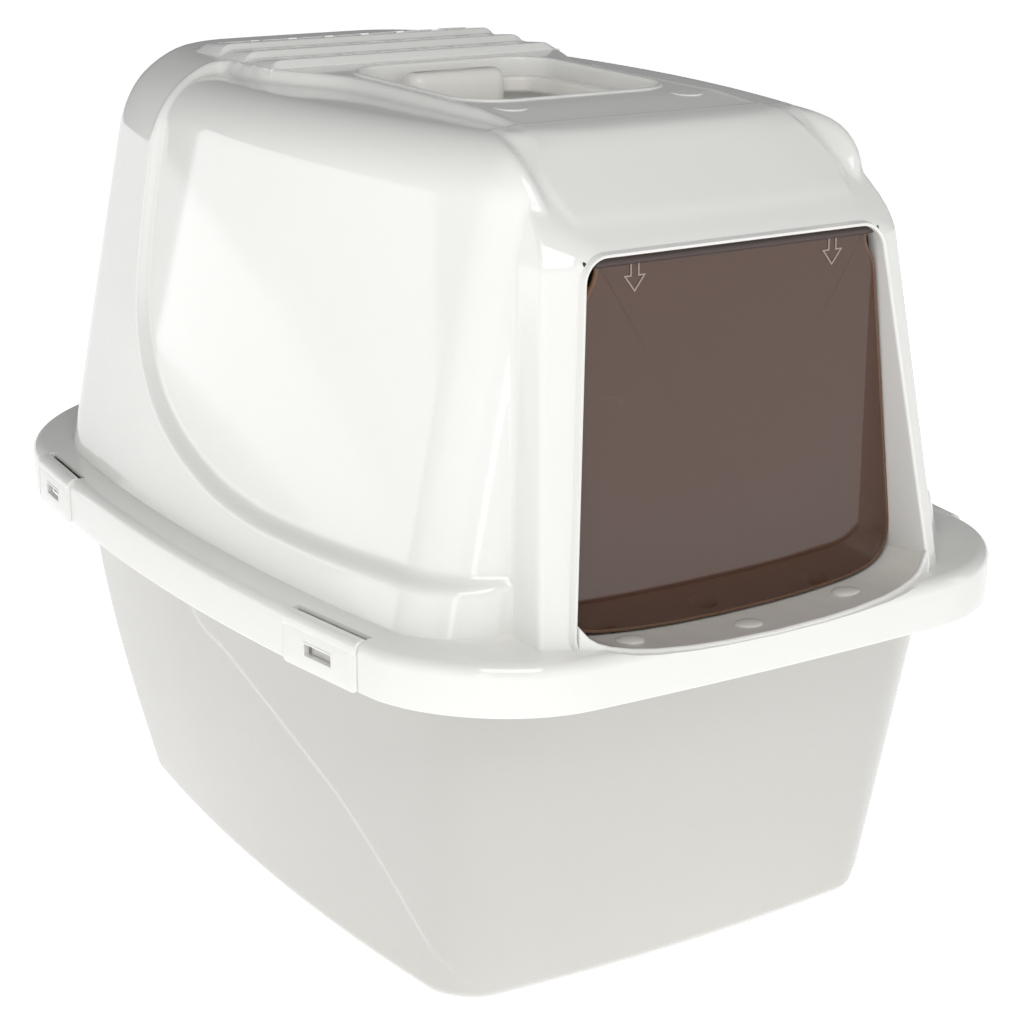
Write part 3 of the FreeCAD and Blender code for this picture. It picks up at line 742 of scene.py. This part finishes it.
# ---------------------------------------------------------------- roof: hand well, vent, marks
def hand_well():
    """A bowl with a rounded bead round its mouth: its profile is carried round a rounded rectangle."""
    def ring(grow, z, follow):
        flat = rounded_outline(-WELL_HALF - grow, WELL_HALF + grow, WELL_FRONT - grow, WELL_REAR + grow,
                               25.0 + grow, 16)
        return np.column_stack([flat, deck_height(flat[:, 1]) + z if follow else np.full(len(flat), z)])

    rings = [ring(2.6, -2.0, True), ring(3.2, -0.2, True), ring(3.0, 0.35, True), ring(2.4, 0.8, True),
             ring(1.5, 1.0, True), ring(0.7, 0.8, True), ring(0.15, 0.2, True), ring(0.0, -0.8, True),
             ring(0.0, -8.0, True), ring(-0.4, 426.0, False)]
    for turn in (15, 35, 55, 75, 90):
        a = math.radians(turn)
        rings.append(ring(-0.4 - 6.0 * (1 - math.cos(a)), WELL_FLOOR + 6.0 - 6.0 * math.sin(a), False))
    rings.append(ring(-14.0, WELL_FLOOR, False))
    under = [ring(-14.0, WELL_UNDERSIDE, False), ring(-3.0, WELL_UNDERSIDE, False), ring(1.2, 417.6, False),
             ring(2.6, 422.0, False), ring(2.6, 430.0, False)]
    pts, faces = solid(rings + under, closed_ends=False)
    cols = len(rings[0])
    last = (len(rings) + len(under) - 1) * cols
    # the last row joins the first, and the floor is a fan on its upper and lower side
    c = np.arange(cols)
    n = (c + 1) % cols
    faces = [f for f in faces if f[0] // cols != len(rings) - 1]
    faces += np.stack([c + last, n + last, n, c], -1).tolist()
    middle_y = (WELL_FRONT + WELL_REAR) / 2
    pts = np.vstack([pts, [0, middle_y, WELL_FLOOR], [0, middle_y, WELL_UNDERSIDE]])
    a, b = (len(rings) - 1) * cols, len(rings) * cols
    faces += [(a + i, a + (i + 1) % cols, last + cols) for i in range(cols)]
    faces += [(b + i, b + (i + 1) % cols, last + cols + 1) for i in range(cols)]
    piece = make("hand_well", pts, faces, HOOD_WHITE, "hood", "hood", "hood_plastic", sharp=50.0)
    bore = [np.column_stack([np.full(24, x), circle(HANDLE_Y, HANDLE_Z, 2.7, 24)]) for x in (-80.0, 80.0)]
    cut_away(piece, [cutter(*solid(bore))])


hand_well()


def soft_edges(profile, r, n=4):
    """Rounds the corners of a closed outline with parabolas that start r before each corner, or 0.45 of the
    shorter side where that is less."""
    p = np.asarray(profile, float)
    out = []
    for i in range(len(p)):
        a, b, c = p[i - 1], p[i], p[(i + 1) % len(p)]
        u, v = a - b, c - b
        lu, lv = np.hypot(*u), np.hypot(*v)
        k = min(r, lu * 0.45, lv * 0.45)
        s, e = b + u / lu * k, b + v / lv * k
        t = np.linspace(0, 1, n)[:, None]
        out.append(s * (1 - t) ** 2 + b * 2 * t * (1 - t) + e * t ** 2)
    return np.concatenate(out)


def vent_holes():
    """The middles of the vent's holes, seven in each row."""
    return [(i * VENT_PITCH, y) for y in VENT_ROWS for i in range(-3, 4)]


def joined(parts):
    """Several closed forms as one: their points in a row, and each form's faces counted on from the last."""
    points, faces, first = [], [], 0
    for p, f in parts:
        points.append(p)
        faces += [tuple(int(k) + first for k in g) for g in f]
        first += len(p)
    return np.concatenate(points), faces


def vent():
    """Three low steps across the roof: their side view carried across, with slanted rounded ends."""
    side = [(44.6, 443.2), (45.6, 446.6), (49.0, 450.4), (78.0, 448.1), (79.2, 448.4), (82.4, 452.0),
            (110.6, 449.8), (111.8, 450.1), (115.0, 453.2), (146.0, 450.6), (168.0, 445.6), (173.0, 442.0),
            (173.0, 440.0), (152.0, 443.2)]
    outline = soft_edges(side, 1.1, 5)
    rings = []
    for x, rise in ((-95.5, -0.25), (-94.5, 0.0), (-92.5, 0.3), (-90.0, 0.72), (-88.0, 0.92), (-85.5, 1.0)):
        z = np.where(outline[:, 1] > 446.2, 446.2 + (outline[:, 1] - 446.2) * rise, outline[:, 1])
        rings.append(np.column_stack([np.full(len(outline), x), outline[:, 0], z]))
    mirrored = [r * np.array([-1.0, 1.0, 1.0]) for r in rings[::-1]]
    rings = np.array(rings + mirrored)
    # the rear of each end is drawn in, as the roof rounds off there
    rings[..., 0] *= 1 - 0.10 * np.clip((rings[..., 1] - 120.0) / 53.0, 0, 1) ** 2
    pts, faces = solid(rings)
    piece = make("vent_steps", pts, faces, HOOD_WHITE, "hood", "hood", "hood_plastic", sharp=38.0)
    holes = [prism_z(circle(x, y, VENT_HOLE_R, 40), 430.0, 470.0) for x, y in vent_holes()]
    cut_away(piece, [cutter(*joined(holes))])


vent()


def hole_rims():
    """A fine rounded edge round every vent hole, following the step it is in."""
    step = np.array([(49.0, 450.4), (78.0, 448.1), (82.4, 452.0), (110.6, 449.8), (115.0, 453.2),
                     (146.0, 450.6)])
    a = np.linspace(0, 2 * math.pi, 40, endpoint=False)
    rims = []
    for x, y in vent_holes():
        tube = []
        for b in np.linspace(0, 2 * math.pi, 8, endpoint=False):
            r = VENT_HOLE_R + 0.25 + 0.5 * math.cos(b)
            px, py = x + r * np.cos(a), y + r * np.sin(a)
            top = np.interp(py, step[:, 0], step[:, 1])
            tube.append(np.column_stack([px, py, top - 0.28 + 0.5 * math.sin(b)]))
        rims.append(tube_around(tube))
    make("vent_hole_rims", *joined(rims), HOOD_WHITE, "hood", "hood", "hood_plastic", 60.0)


hole_rims()


def deck_mark(name, cx):
    """A coin with a rounded edge, lying on the sloping deck: circles drawn in as they rise."""
    cy, cz = DECK_MARK[1:]
    r, height, slope = 8.6, 0.28, 0.045
    a = np.linspace(0, 2 * math.pi, 48, endpoint=False)
    rings = []
    for inset, share in ((0.0, None), (0.0, 0.0), (0.12, 0.6), (0.4, 0.92), (0.9, 1.0), (3.5, 1.0)):
        up = -0.6 if share is None else height * share
        x, y = cx + (r - inset) * np.cos(a), cy + (r - inset) * np.sin(a)
        rings.append(np.column_stack([x, y, cz + up + slope * (y - cy)]))
    make(name, *solid(rings), HOOD_WHITE, "hood", "hood", "hood_plastic", 40.0)


deck_mark("deck_mark_left", -DECK_MARK[0])
deck_mark("deck_mark_right", DECK_MARK[0])


# ---------------------------------------------------------------- tray
TRAY_SWEEP = [(20, 154), (14, 149), (-21, 139), (-64, 122), (-99, 106), (-130, 90), (-152, 74), (-173, 56),
              (-193, 37), (-208, 22), (-222, 4)]
tray_map = Side_map(np.vstack([smooth_line(TRAY_SWEEP, 60), [(-222, -30), (330, -30), (330, 260), (26, 260)]]),
                    -320, 330, -20, 240)


TRAY_COUNTS = dict(n_front=50, n_corner=30, n_side=260, n_rear=40)


def tray_ring(z, shrink, crease=True):
    """The tray's outline at height z, drawn in by shrink: its sides move out in step with the height and its
    rear bellies by a sine. Behind the crease the wall is set in by 0.9 mm, over a smooth step 1.6 mm wide."""
    up = min(max(z / SEAT, 0.0), 1.0)
    rear = 165.0 + 100.0 * up + 20.0 * math.sin(math.pi * up)
    ring = bowed_ring(z, 137.0 + 7.0 * up - shrink, -215.0 - 52.0 * up + shrink, rear - shrink,
                      7.5, 12.5 + 17.0 * up, 3.0, 24.0 + 22.0 * up - shrink * 0.5,
                      30.0 + 42.0 * up - shrink * 0.5, **TRAY_COUNTS)
    if crease:
        q = tray_map(ring[:, 1], ring[:, 2])
        side = np.clip((np.abs(ring[:, 0]) - 118.0) / 10.0, 0, 1)
        t = np.clip(q / 1.6 + 0.5, 0, 1)
        ring[:, 0] -= np.sign(ring[:, 0]) * side * 0.9 * t * t * (3 - 2 * t)
    return ring


def tray():
    """Outside wall, rim, rolled lip and inside wall as one skin, from the base's middle to the floor's."""
    rings = [tray_ring(0.0, 60.0, False), tray_ring(0.0, 9.0, False)]
    for turn in (20, 40, 60, 80):
        a = math.radians(turn)
        rings.append(tray_ring(7.0 - 7.0 * math.cos(a), 7.0 - 7.0 * math.sin(a)))
    for z in spaced((7.0, 150.0, 70), (150.0, 193.0, 12)):
        rings.append(tray_ring(z, 0.0))
    rings.append(tray_ring(195.5, 0.0))
    for z, i in ((195.4, 9.0), (195.0, 8.4), (189.0, 8.2), (188.5, 7.8), (188.5, 6.6), (189.0, 6.1),
                 (196.9, 6.0), (197.9, 6.3), (198.4, 7.0), (198.5, 8.0)):
        rings.append(rim_ring(z, i, **TRAY_COUNTS))
    rings.append(tray_ring(198.5, 0.8, False))
    for turn in (30, 60, 90):
        a = math.radians(turn)
        rings.append(tray_ring(198.5 - 2.2 * (1 - math.cos(a)), 0.8 + 2.2 * math.sin(a), False))
    for z in spaced((194.0, 16.0, 22)):
        rings.append(tray_ring(z, 3.0, False))
    for turn in (25, 50, 75, 90):
        a = math.radians(turn)
        rings.append(tray_ring(16.0 - 13.0 * math.sin(a), 3.0 + 13.0 * (1 - math.cos(a)), False))
    rings.append(tray_ring(3.0, 60.0, False))
    make("tray_body", *solid(rings), TRAY_GREY, "tray", "tray", "tray_plastic", 42.0)


tray()


STEP_REAR, STEP_UNDERSIDE = -246.0, 195.6


def step_top(x, y):
    """The doorstep's top: from the height of its rear edge up to the sill's front edge, by the power 1.4 of the
    way forward."""
    yf, zf = sill_front(x)
    rear = sill_rear_z(x)
    return rear + (zf - 0.6 - rear) * np.clip((-252.0 - y) / (-252.0 - yf), 0.0, 1.0) ** 1.4


def doorstep():
    """The step inside the doorway: sections across its depth, carried from side to side. Its top follows the
    flap's swing and turns up at both ends, where it meets the doorway's walls."""
    rings = []
    for x in spaced((-106.5, -90.0, 24), (-90.0, 90.0, 90), (90.0, 106.5, 24)):
        yf, zf = sill_front(x)
        rear = sill_rear_z(x)
        t = np.linspace(0.0, 1.0, 12)
        top_y = STEP_REAR - 0.8 + (yf + 2.2 + 246.8) * t
        ys = np.concatenate([[STEP_REAR, STEP_REAR, STEP_REAR - 0.3], top_y, [yf + 2.3, yf + 2.3, yf + 2.3]])
        zs = np.concatenate([[STEP_UNDERSIDE, rear - 0.8, rear - 0.25], step_top(x, top_y),
                             [zf - 1.0, 199.0, STEP_UNDERSIDE]])
        rings.append(np.column_stack([np.full(len(ys), x), ys, zs]))
    # the step's lighter colour is painted light that offsets the shade it lies in
    make("doorstep", *solid(rings), STEP_PAINTED_LIGHT, "tray", "tray", "tray_plastic", 40.0)


def doorstep_bump(name, x, y):
    """A low dome on the step: circles of radius 7.4 cos t, 1.9 sin t above the step's top."""
    a = np.linspace(0, 2 * math.pi, 40, endpoint=False)
    rings = []
    for r, up in [(7.4, -1.6)] + [(7.4 * math.cos(t), 1.9 * math.sin(t)) for t in np.linspace(0.0, 1.45, 9)]:
        flat = np.column_stack([x + r * np.cos(a), y + r * np.sin(a)])
        rings.append(np.column_stack([flat, step_top(x, flat[:, 1]) + up]))
    # the domes share the step's lighter colour, painted light that offsets the shade there
    make("doorstep_bump_" + name, *solid(rings), STEP_PAINTED_LIGHT, "tray", "tray", "tray_plastic", 40.0)


def sill_lip():
    """A bead along the front edge of the doorway's sill, turning up into the doorway's lip: an upright bar with
    a half ellipse on top, carried from side to side."""
    rings = []
    for x in spaced((-106.5, -90.0, 30), (-90.0, 90.0, 90), (90.0, 106.5, 30)):
        yf, zf = sill_front(x)
        a = np.linspace(0.0, math.pi, 12)
        y = yf + 1.3 + 1.5 * np.cos(math.pi - a)
        z = zf - 0.7 + 1.3 * np.sin(a)
        foot = min(zf - 4.0, 207.0)
        rings.append(np.column_stack([np.full(14, x), np.concatenate([[yf - 0.2], y, [yf + 2.8]]),
                                      np.concatenate([[foot], z, [foot]])]))
    make("sill_lip", *solid(rings), HOOD_WHITE, "hood", "hood", "hood_plastic", sharp=45.0)


doorstep()
doorstep_bump("left", -67.0, -267.5)
doorstep_bump("middle", 0.0, -274.0)
doorstep_bump("right", 67.0, -267.5)
sill_lip()


def catch_lug(name, x, y, facing):
    """The tray's catch under a clip: a small block with rounded edges."""
    rings = []
    for z, inset in ((194.3, 0.8), (194.5, 0.3), (195.0, 0.0), (197.6, 0.0), (198.1, 0.3), (198.35, 0.9)):
        flat = rounded_outline(-9.5 + inset, -1.5 - inset, -9.0 + inset, 9.0 - inset, 1.4, 5)
        rings.append(np.column_stack([flat, np.full(len(flat), z)]))
    pts, faces = solid(rings)
    make(name, put(pts, x, y, facing), faces, TRAY_GREY, "tray", "tray", "tray_plastic", 40.0)


# ---------------------------------------------------------------- clips
def clip(name, x, y, facing):
    """A clip: rounded plate with a window, running up into a hinge barrel, and two pins."""
    rings = []
    for depth, inset in ((-1.3, 0.9), (-1.2, 0.35), (-0.8, 0.0), (0.5, 0.0), (0.95, 0.2), (1.2, 0.75),
                         (1.22, 6.0)):
        flat = rounded_outline(-30.0 + inset, 30.0 - inset, 185.5 + inset, 211.0 - inset,
                               max(3.0 - inset * 0.5, 1.0), 7)
        lean = np.clip((flat[:, 1] - 204.0) / 7.0, 0, 1) ** 2 * 2.6
        rings.append(np.column_stack([np.full(len(flat), depth) - lean, flat]))
    pts, faces = solid(rings)
    plate = make(name + "_plate", put(pts, x, y, facing), faces, CLIP_WHITE, name, name, "clip_plastic", 40.0)
    opening = rounded_outline(-11.0, 11.0, 193.6, 199.6, 0.9, 6)
    pts, faces = solid([np.column_stack([np.full(24, depth), opening]) for depth in (-6.0, 6.0)])
    cut_away(plate, [cutter(put(pts, x, y, facing), faces)])
    frame_rings = []
    for side, deep in ((0.1, 1.0), (0.05, 1.45), (0.45, 1.62), (1.0, 1.55), (1.25, 1.15), (1.25, 0.9)):
        flat = rounded_outline(-11.0 - side, 11.0 + side, 193.6 - side, 199.6 + side, 0.9 + side, 6)
        frame_rings.append(np.column_stack([np.full(len(flat), deep), flat]))
    pts, faces = tube_around(frame_rings)
    make(name + "_window_rim", put(pts, x, y, facing), faces, CLIP_WHITE, name, name, "clip_plastic", 50.0)
    barrel = []
    for along, r in ((-34.0, 1.4), (-33.6, 1.8), (-30.1, 1.8), (-30.0, 4.6), (-29.5, 5.1), (29.5, 5.1),
                     (30.0, 4.6), (30.1, 1.8), (33.6, 1.8), (34.0, 1.4)):
        ring = circle(-4.0, 206.8, r, 40)
        barrel.append(np.column_stack([ring[:, 0], np.full(40, along), ring[:, 1]]))
    pts, faces = solid(barrel)
    make(name + "_barrel", put(pts, x, y, facing), faces, CLIP_WHITE, name, name, "clip_plastic", 40.0)


for clip_name, spot in CLIPS.items():
    clip(clip_name, *spot)
    catch_lug("catch_" + clip_name, *spot)


# ---------------------------------------------------------------- flap
def flap_outline(grow):
    """The flap seen from the front as (x, z), its corners rounded, grown outwards."""
    half = [(0.0, 201.4), (30.0, 201.9), (56.0, 203.3), (78.0, 205.8), (92.0, 209.2), (100.5, 214.5),
            (104.4, 222.5), (105.0, 232.0), (87.2, 371.0), (81.2, 380.2), (81.0, 388.2)]
    pts = half + [(-x, z) for x, z in half[:0:-1]]
    p = soft_edges(pts, 9.0, 7)
    along = np.roll(p, -1, 0) - np.roll(p, 1, 0)
    along /= np.hypot(*along.T)[:, None]
    return p + np.column_stack([along[:, 1], -along[:, 0]]) * grow


def flap():
    """A see-through panel with a thicker rolled rim, arrows moulded on it and a hinge rod with end pins."""
    y0 = FLAP_Y
    rings = []
    for depth, inset in ((1.05, 3.0), (1.05, 1.2), (0.85, 0.7), (-0.85, 0.7), (-1.05, 1.2), (-1.05, 3.0)):
        flat = flap_outline(-inset)
        rings.append(np.column_stack([flat[:, 0], np.full(len(flat), y0 + depth), flat[:, 1]]))
    make("flap_panel", *solid(rings), FLAP_SMOKE, "flap", "flap", "flap_plastic", 40.0)
    rings = []
    for depth, inset in ((0.0, 0.0), (0.7, 0.15), (1.15, 0.8), (1.2, 1.5), (1.0, 1.9), (-1.0, 1.9), (-1.2, 1.5),
                         (-1.15, 0.8), (-0.7, 0.15)):
        flat = flap_outline(-inset)
        rings.append(np.column_stack([flat[:, 0], np.full(len(flat), y0 + depth), flat[:, 1]]))
    make("flap_rim", *tube_around(rings), FLAP_RIM, "flap", "flap", "flap_plastic", 50.0)
    rod = []
    for x, r in ((-88.0, 1.6), (-87.6, 2.0), (-81.0, 2.0), (-80.9, 2.4), (80.9, 2.4), (81.0, 2.0), (87.6, 2.0),
                 (88.0, 1.6)):
        ring = circle(y0, FLAP_Z, r, 32)
        rod.append(np.column_stack([np.full(32, x), ring]))
    # the hinge rod carries painted shade, standing for the dark gap above the flap
    make("flap_rod", *solid(rod), HINGE_GAP_SHADE, "flap", "flap", "flap_plastic", 40.0)
    arrow = np.array([(-2.2, 7.0), (2.2, 7.0), (2.2, 0.5), (5.6, 0.5), (0.0, -6.8), (-5.6, 0.5), (-2.2, 0.5)])
    for name, x in (("left", -58.8), ("right", 58.8)):
        rings = []
        for side, deep in ((-0.35, 0.9), (-0.35, 1.5), (0.35, 1.5), (0.35, 0.9)):
            around = np.roll(arrow, -1, 0) - arrow
            out = np.column_stack([around[:, 1], -around[:, 0]]) / np.hypot(*around.T)[:, None]
            corner = np.roll(out, 1, 0) + out
            corner /= (np.sum(corner * out, 1))[:, None]
            p = arrow - corner * side
            rings.append(np.column_stack([x + p[:, 0], np.full(len(p), y0 - deep), 379.0 + p[:, 1]]))
        make("flap_arrow_" + name, *tube_around(rings), ARROW_CLEAR, "flap", "flap", "flap_plastic", 30.0)


flap()


# ---------------------------------------------------------------- handle
def carried(section, path):
    """A closed section in (across, up) carried along a level path: across is square to the path, up is +Z."""
    along = np.gradient(path, axis=0)
    along /= np.linalg.norm(along, axis=1)[:, None]
    up = np.tile(np.array([0.0, 0.0, 1.0]), (len(path), 1))
    across = np.cross(along, up)
    across /= np.linalg.norm(across, axis=1)[:, None]
    return solid(path[:, None] + across[:, None] * section[None, :, :1] + up[:, None] * section[None, :, 1:])


def handle():
    """A flat bail: a rounded section carried round three sides, with a crowned grip block and two pins."""
    section = rounded_outline(-4.0, 4.0, -4.5, 4.5, 2.2, 6)
    corners = smooth_line([(-53.5, -85), (-53.5, -60), (-53.5, -30), (-53.4, -8), (-49.5, 6), (-40, 12.2),
                           (-25, 13.3), (0, 13.5), (25, 13.3), (40, 12.2), (49.5, 6), (53.4, -8),
                           (53.5, -30), (53.5, -60), (53.5, -85)], 120)
    path = np.column_stack([corners, np.full(len(corners), HANDLE_Z)])
    make("handle_bail", *carried(section, path), GRIP_CREAM, "handle", "handle", "handle_plastic", 50.0)
    rings = []
    for z, inset in ((424.2, 1.6), (424.0, 0.6), (425.0, 0.0), (437.5, 0.0), (440.3, 0.55), (442.4, 1.8),
                     (443.5, 3.6), (443.8, 6.0)):
        flat = rounded_outline(-31.0 + inset, 31.0 - inset, -1.5 + inset, 17.5 - inset,
                               max(8.0 - inset * 0.6, 1.5), 10)
        rings.append(np.column_stack([flat, np.full(len(flat), z)]))
    make("handle_grip", *solid(rings), GRIP_CREAM, "handle", "handle", "handle_plastic", 50.0)
    for name, s in (("left", -1.0), ("right", 1.0)):
        rings = []
        for x, r in ((49.3, 3.6), (49.6, 4.3), (57.4, 4.3), (57.7, 3.6), (57.8, 2.5), (65.2, 2.5), (65.5, 2.1)):
            ring = circle(HANDLE_Y, HANDLE_Z, r, 36)
            rings.append(np.column_stack([np.full(36, s * x), ring]))
        make("handle_pin_" + name, *solid(rings), GRIP_CREAM, "handle", "handle", "handle_plastic", 40.0)


handle()


# ---------------------------------------------------------------- filter
def filter_pad():
    """A padded fleece: its edge draws in as it rises and falls, and its top has a quilted swell, 0.35 mm times
    the sines of x / 9 and y / 9."""
    low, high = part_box("filter_pad")
    x0, x1, y0, y1, z0, z1 = [v / MM for v in (low.x, high.x, low.y, high.y, low.z, high.z)]
    rings = []
    for f, inset in ((0.0, 5.0), (0.02, 2.5), (0.12, 0.8), (0.3, 0.1), (0.5, 0.0), (0.7, 0.1), (0.88, 0.8),
                     (0.98, 2.5), (1.0, 5.0), (1.0, 14.0), (1.0, 26.0)):
        flat = rounded_outline(x0 + inset, x1 - inset, y0 + inset, y1 - inset, max(5.0 - inset * 0.2, 2.0), 10)
        sunk = 0.9 if inset < 6 and f > 0.9 else 0.4
        swell = 0.35 * np.sin(flat[:, 0] / 9.0) * np.sin(flat[:, 1] / 9.0) - sunk
        rings.append(np.column_stack([flat, z0 + (z1 - z0) * f + swell * (f > 0.9)]))
    pad = make("filter_fleece", *solid(rings), CARBON, "hood", "filter_pad", "filter_carbon", 80.0)


filter_pad()
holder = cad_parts["filter_holder"]
for i in range(len(holder.material_slots)):
    holder.material_slots[i].material = HOLDER_WHITE
finish_jobs()


# ---------------------------------------------------------------- floor, light, camera
def floor():
    mesh = bpy.data.meshes.new("floor")
    s = 14.0
    mesh.from_pydata([(-s, -s, 0), (s, -s, 0), (s, s, 0), (-s, s, 0)], [], [(0, 1, 2, 3)])
    obj = bpy.data.objects.new("floor", mesh)
    bpy.context.collection.objects.link(obj)
    mat = bpy.data.materials.new("floor_white")
    mat.use_nodes = True
    tree = mat.node_tree
    shader = tree.nodes["Principled BSDF"]
    shader.inputs["Roughness"].default_value = 0.6
    shader.inputs["Specular IOR Level"].default_value = 0.1
    shader.inputs["Emission Color"].default_value = (1.0, 1.0, 1.0, 1.0)
    shader.inputs["Emission Strength"].default_value = 0.8
    place = tree.nodes.new("ShaderNodeTexCoord")
    noise = tree.nodes.new("ShaderNodeTexNoise")
    noise.inputs["Scale"].default_value = 1.5
    tree.links.new(place.outputs["Object"], noise.inputs["Vector"])
    ramp = tree.nodes.new("ShaderNodeMix")
    ramp.data_type = "RGBA"
    ramp.inputs["A"].default_value = (0.90, 0.90, 0.90, 1)
    ramp.inputs["B"].default_value = (0.93, 0.93, 0.93, 1)
    tree.links.new(noise.outputs["Fac"], ramp.inputs["Factor"])
    tree.links.new(ramp.outputs["Result"], shader.inputs["Base Color"])
    mesh.materials.append(mat)


floor()


def softbox(name, place, aim, size, power):
    """A rectangular light at place that faces aim."""
    data = bpy.data.lights.new(name, "AREA")
    data.shape = "RECTANGLE"
    data.size, data.size_y = size
    data.energy = power
    obj = bpy.data.objects.new(name, data)
    bpy.context.collection.objects.link(obj)
    obj.location = place
    obj.rotation_euler = (Vector(aim) - Vector(place)).to_track_quat("-Z", "Y").to_euler()


softbox("left_softbox", (-2.4, -0.5, 0.9), (0, 0, 0.25), (1.8, 1.5), 4.0)
softbox("front_softbox", (0.3, -2.8, 1.2), (0, 0, 0.25), (1.3, 1.5), 4.6)
softbox("corner_strip", (-1.9, -2.0, 0.9), (0, 0, 0.25), (0.28, 1.7), 3.2)
softbox("right_strip", (2.4, -1.2, 0.9), (0, 0, 0.3), (0.6, 1.6), 4.0)
softbox("brow_light", (-0.55, -1.05, 1.45), (0, -0.2, 0.4), (0.8, 0.8), 9.0)
softbox("rear_left_softbox", (-2.1, 2.3, 0.45), (0, 0, 0.3), (2.2, 1.0), 9.0)


def studio_world():
    """Room light by direction: bright near the horizon and to the front, dim overhead and behind."""
    world = bpy.data.worlds.new("studio")
    bpy.context.scene.world = world
    world.use_nodes = True
    tree = world.node_tree
    back = tree.nodes["Background"]
    place = tree.nodes.new("ShaderNodeTexCoord")
    split = tree.nodes.new("ShaderNodeSeparateXYZ")
    tree.links.new(place.outputs["Generated"], split.inputs["Vector"])
    rise = tree.nodes.new("ShaderNodeMapRange")
    rise.interpolation_type = "SMOOTHSTEP"
    for key, value in (("From Min", 0.05), ("From Max", 0.75), ("To Min", 0.8), ("To Max", 0.26)):
        rise.inputs[key].default_value = value
    tree.links.new(split.outputs["Z"], rise.inputs["Value"])
    ahead = tree.nodes.new("ShaderNodeVectorMath")
    ahead.operation = "DOT_PRODUCT"
    ahead.inputs[1].default_value = (-0.53, -0.85, 0.0)
    tree.links.new(place.outputs["Generated"], ahead.inputs[0])
    turn = tree.nodes.new("ShaderNodeMapRange")
    turn.interpolation_type = "SMOOTHSTEP"
    for key, value in (("From Min", -0.75), ("From Max", 0.3), ("To Min", 0.3), ("To Max", 0.95)):
        turn.inputs[key].default_value = value
    tree.links.new(ahead.outputs["Value"], turn.inputs["Value"])
    both = tree.nodes.new("ShaderNodeMath")
    both.operation = "MULTIPLY"
    tree.links.new(rise.outputs["Result"], both.inputs[0])
    tree.links.new(turn.outputs["Result"], both.inputs[1])
    back.inputs["Color"].default_value = (0.97, 0.98, 1.0, 1.0)
    tree.links.new(both.outputs["Value"], back.inputs["Strength"])


studio_world()

camera_data = bpy.data.cameras.new("camera")
camera_data.sensor_width = 36.0
camera_data.lens = 82.6
camera = bpy.data.objects.new("camera", camera_data)
bpy.context.collection.objects.link(camera)
camera.location = (-0.6764, -1.1348, 0.6015)
camera.rotation_euler = (math.radians(90.0 - 17.44), 0.0, math.radians(-32.04))
bpy.context.scene.camera = camera
bpy.context.scene.view_settings.view_transform = "Standard"
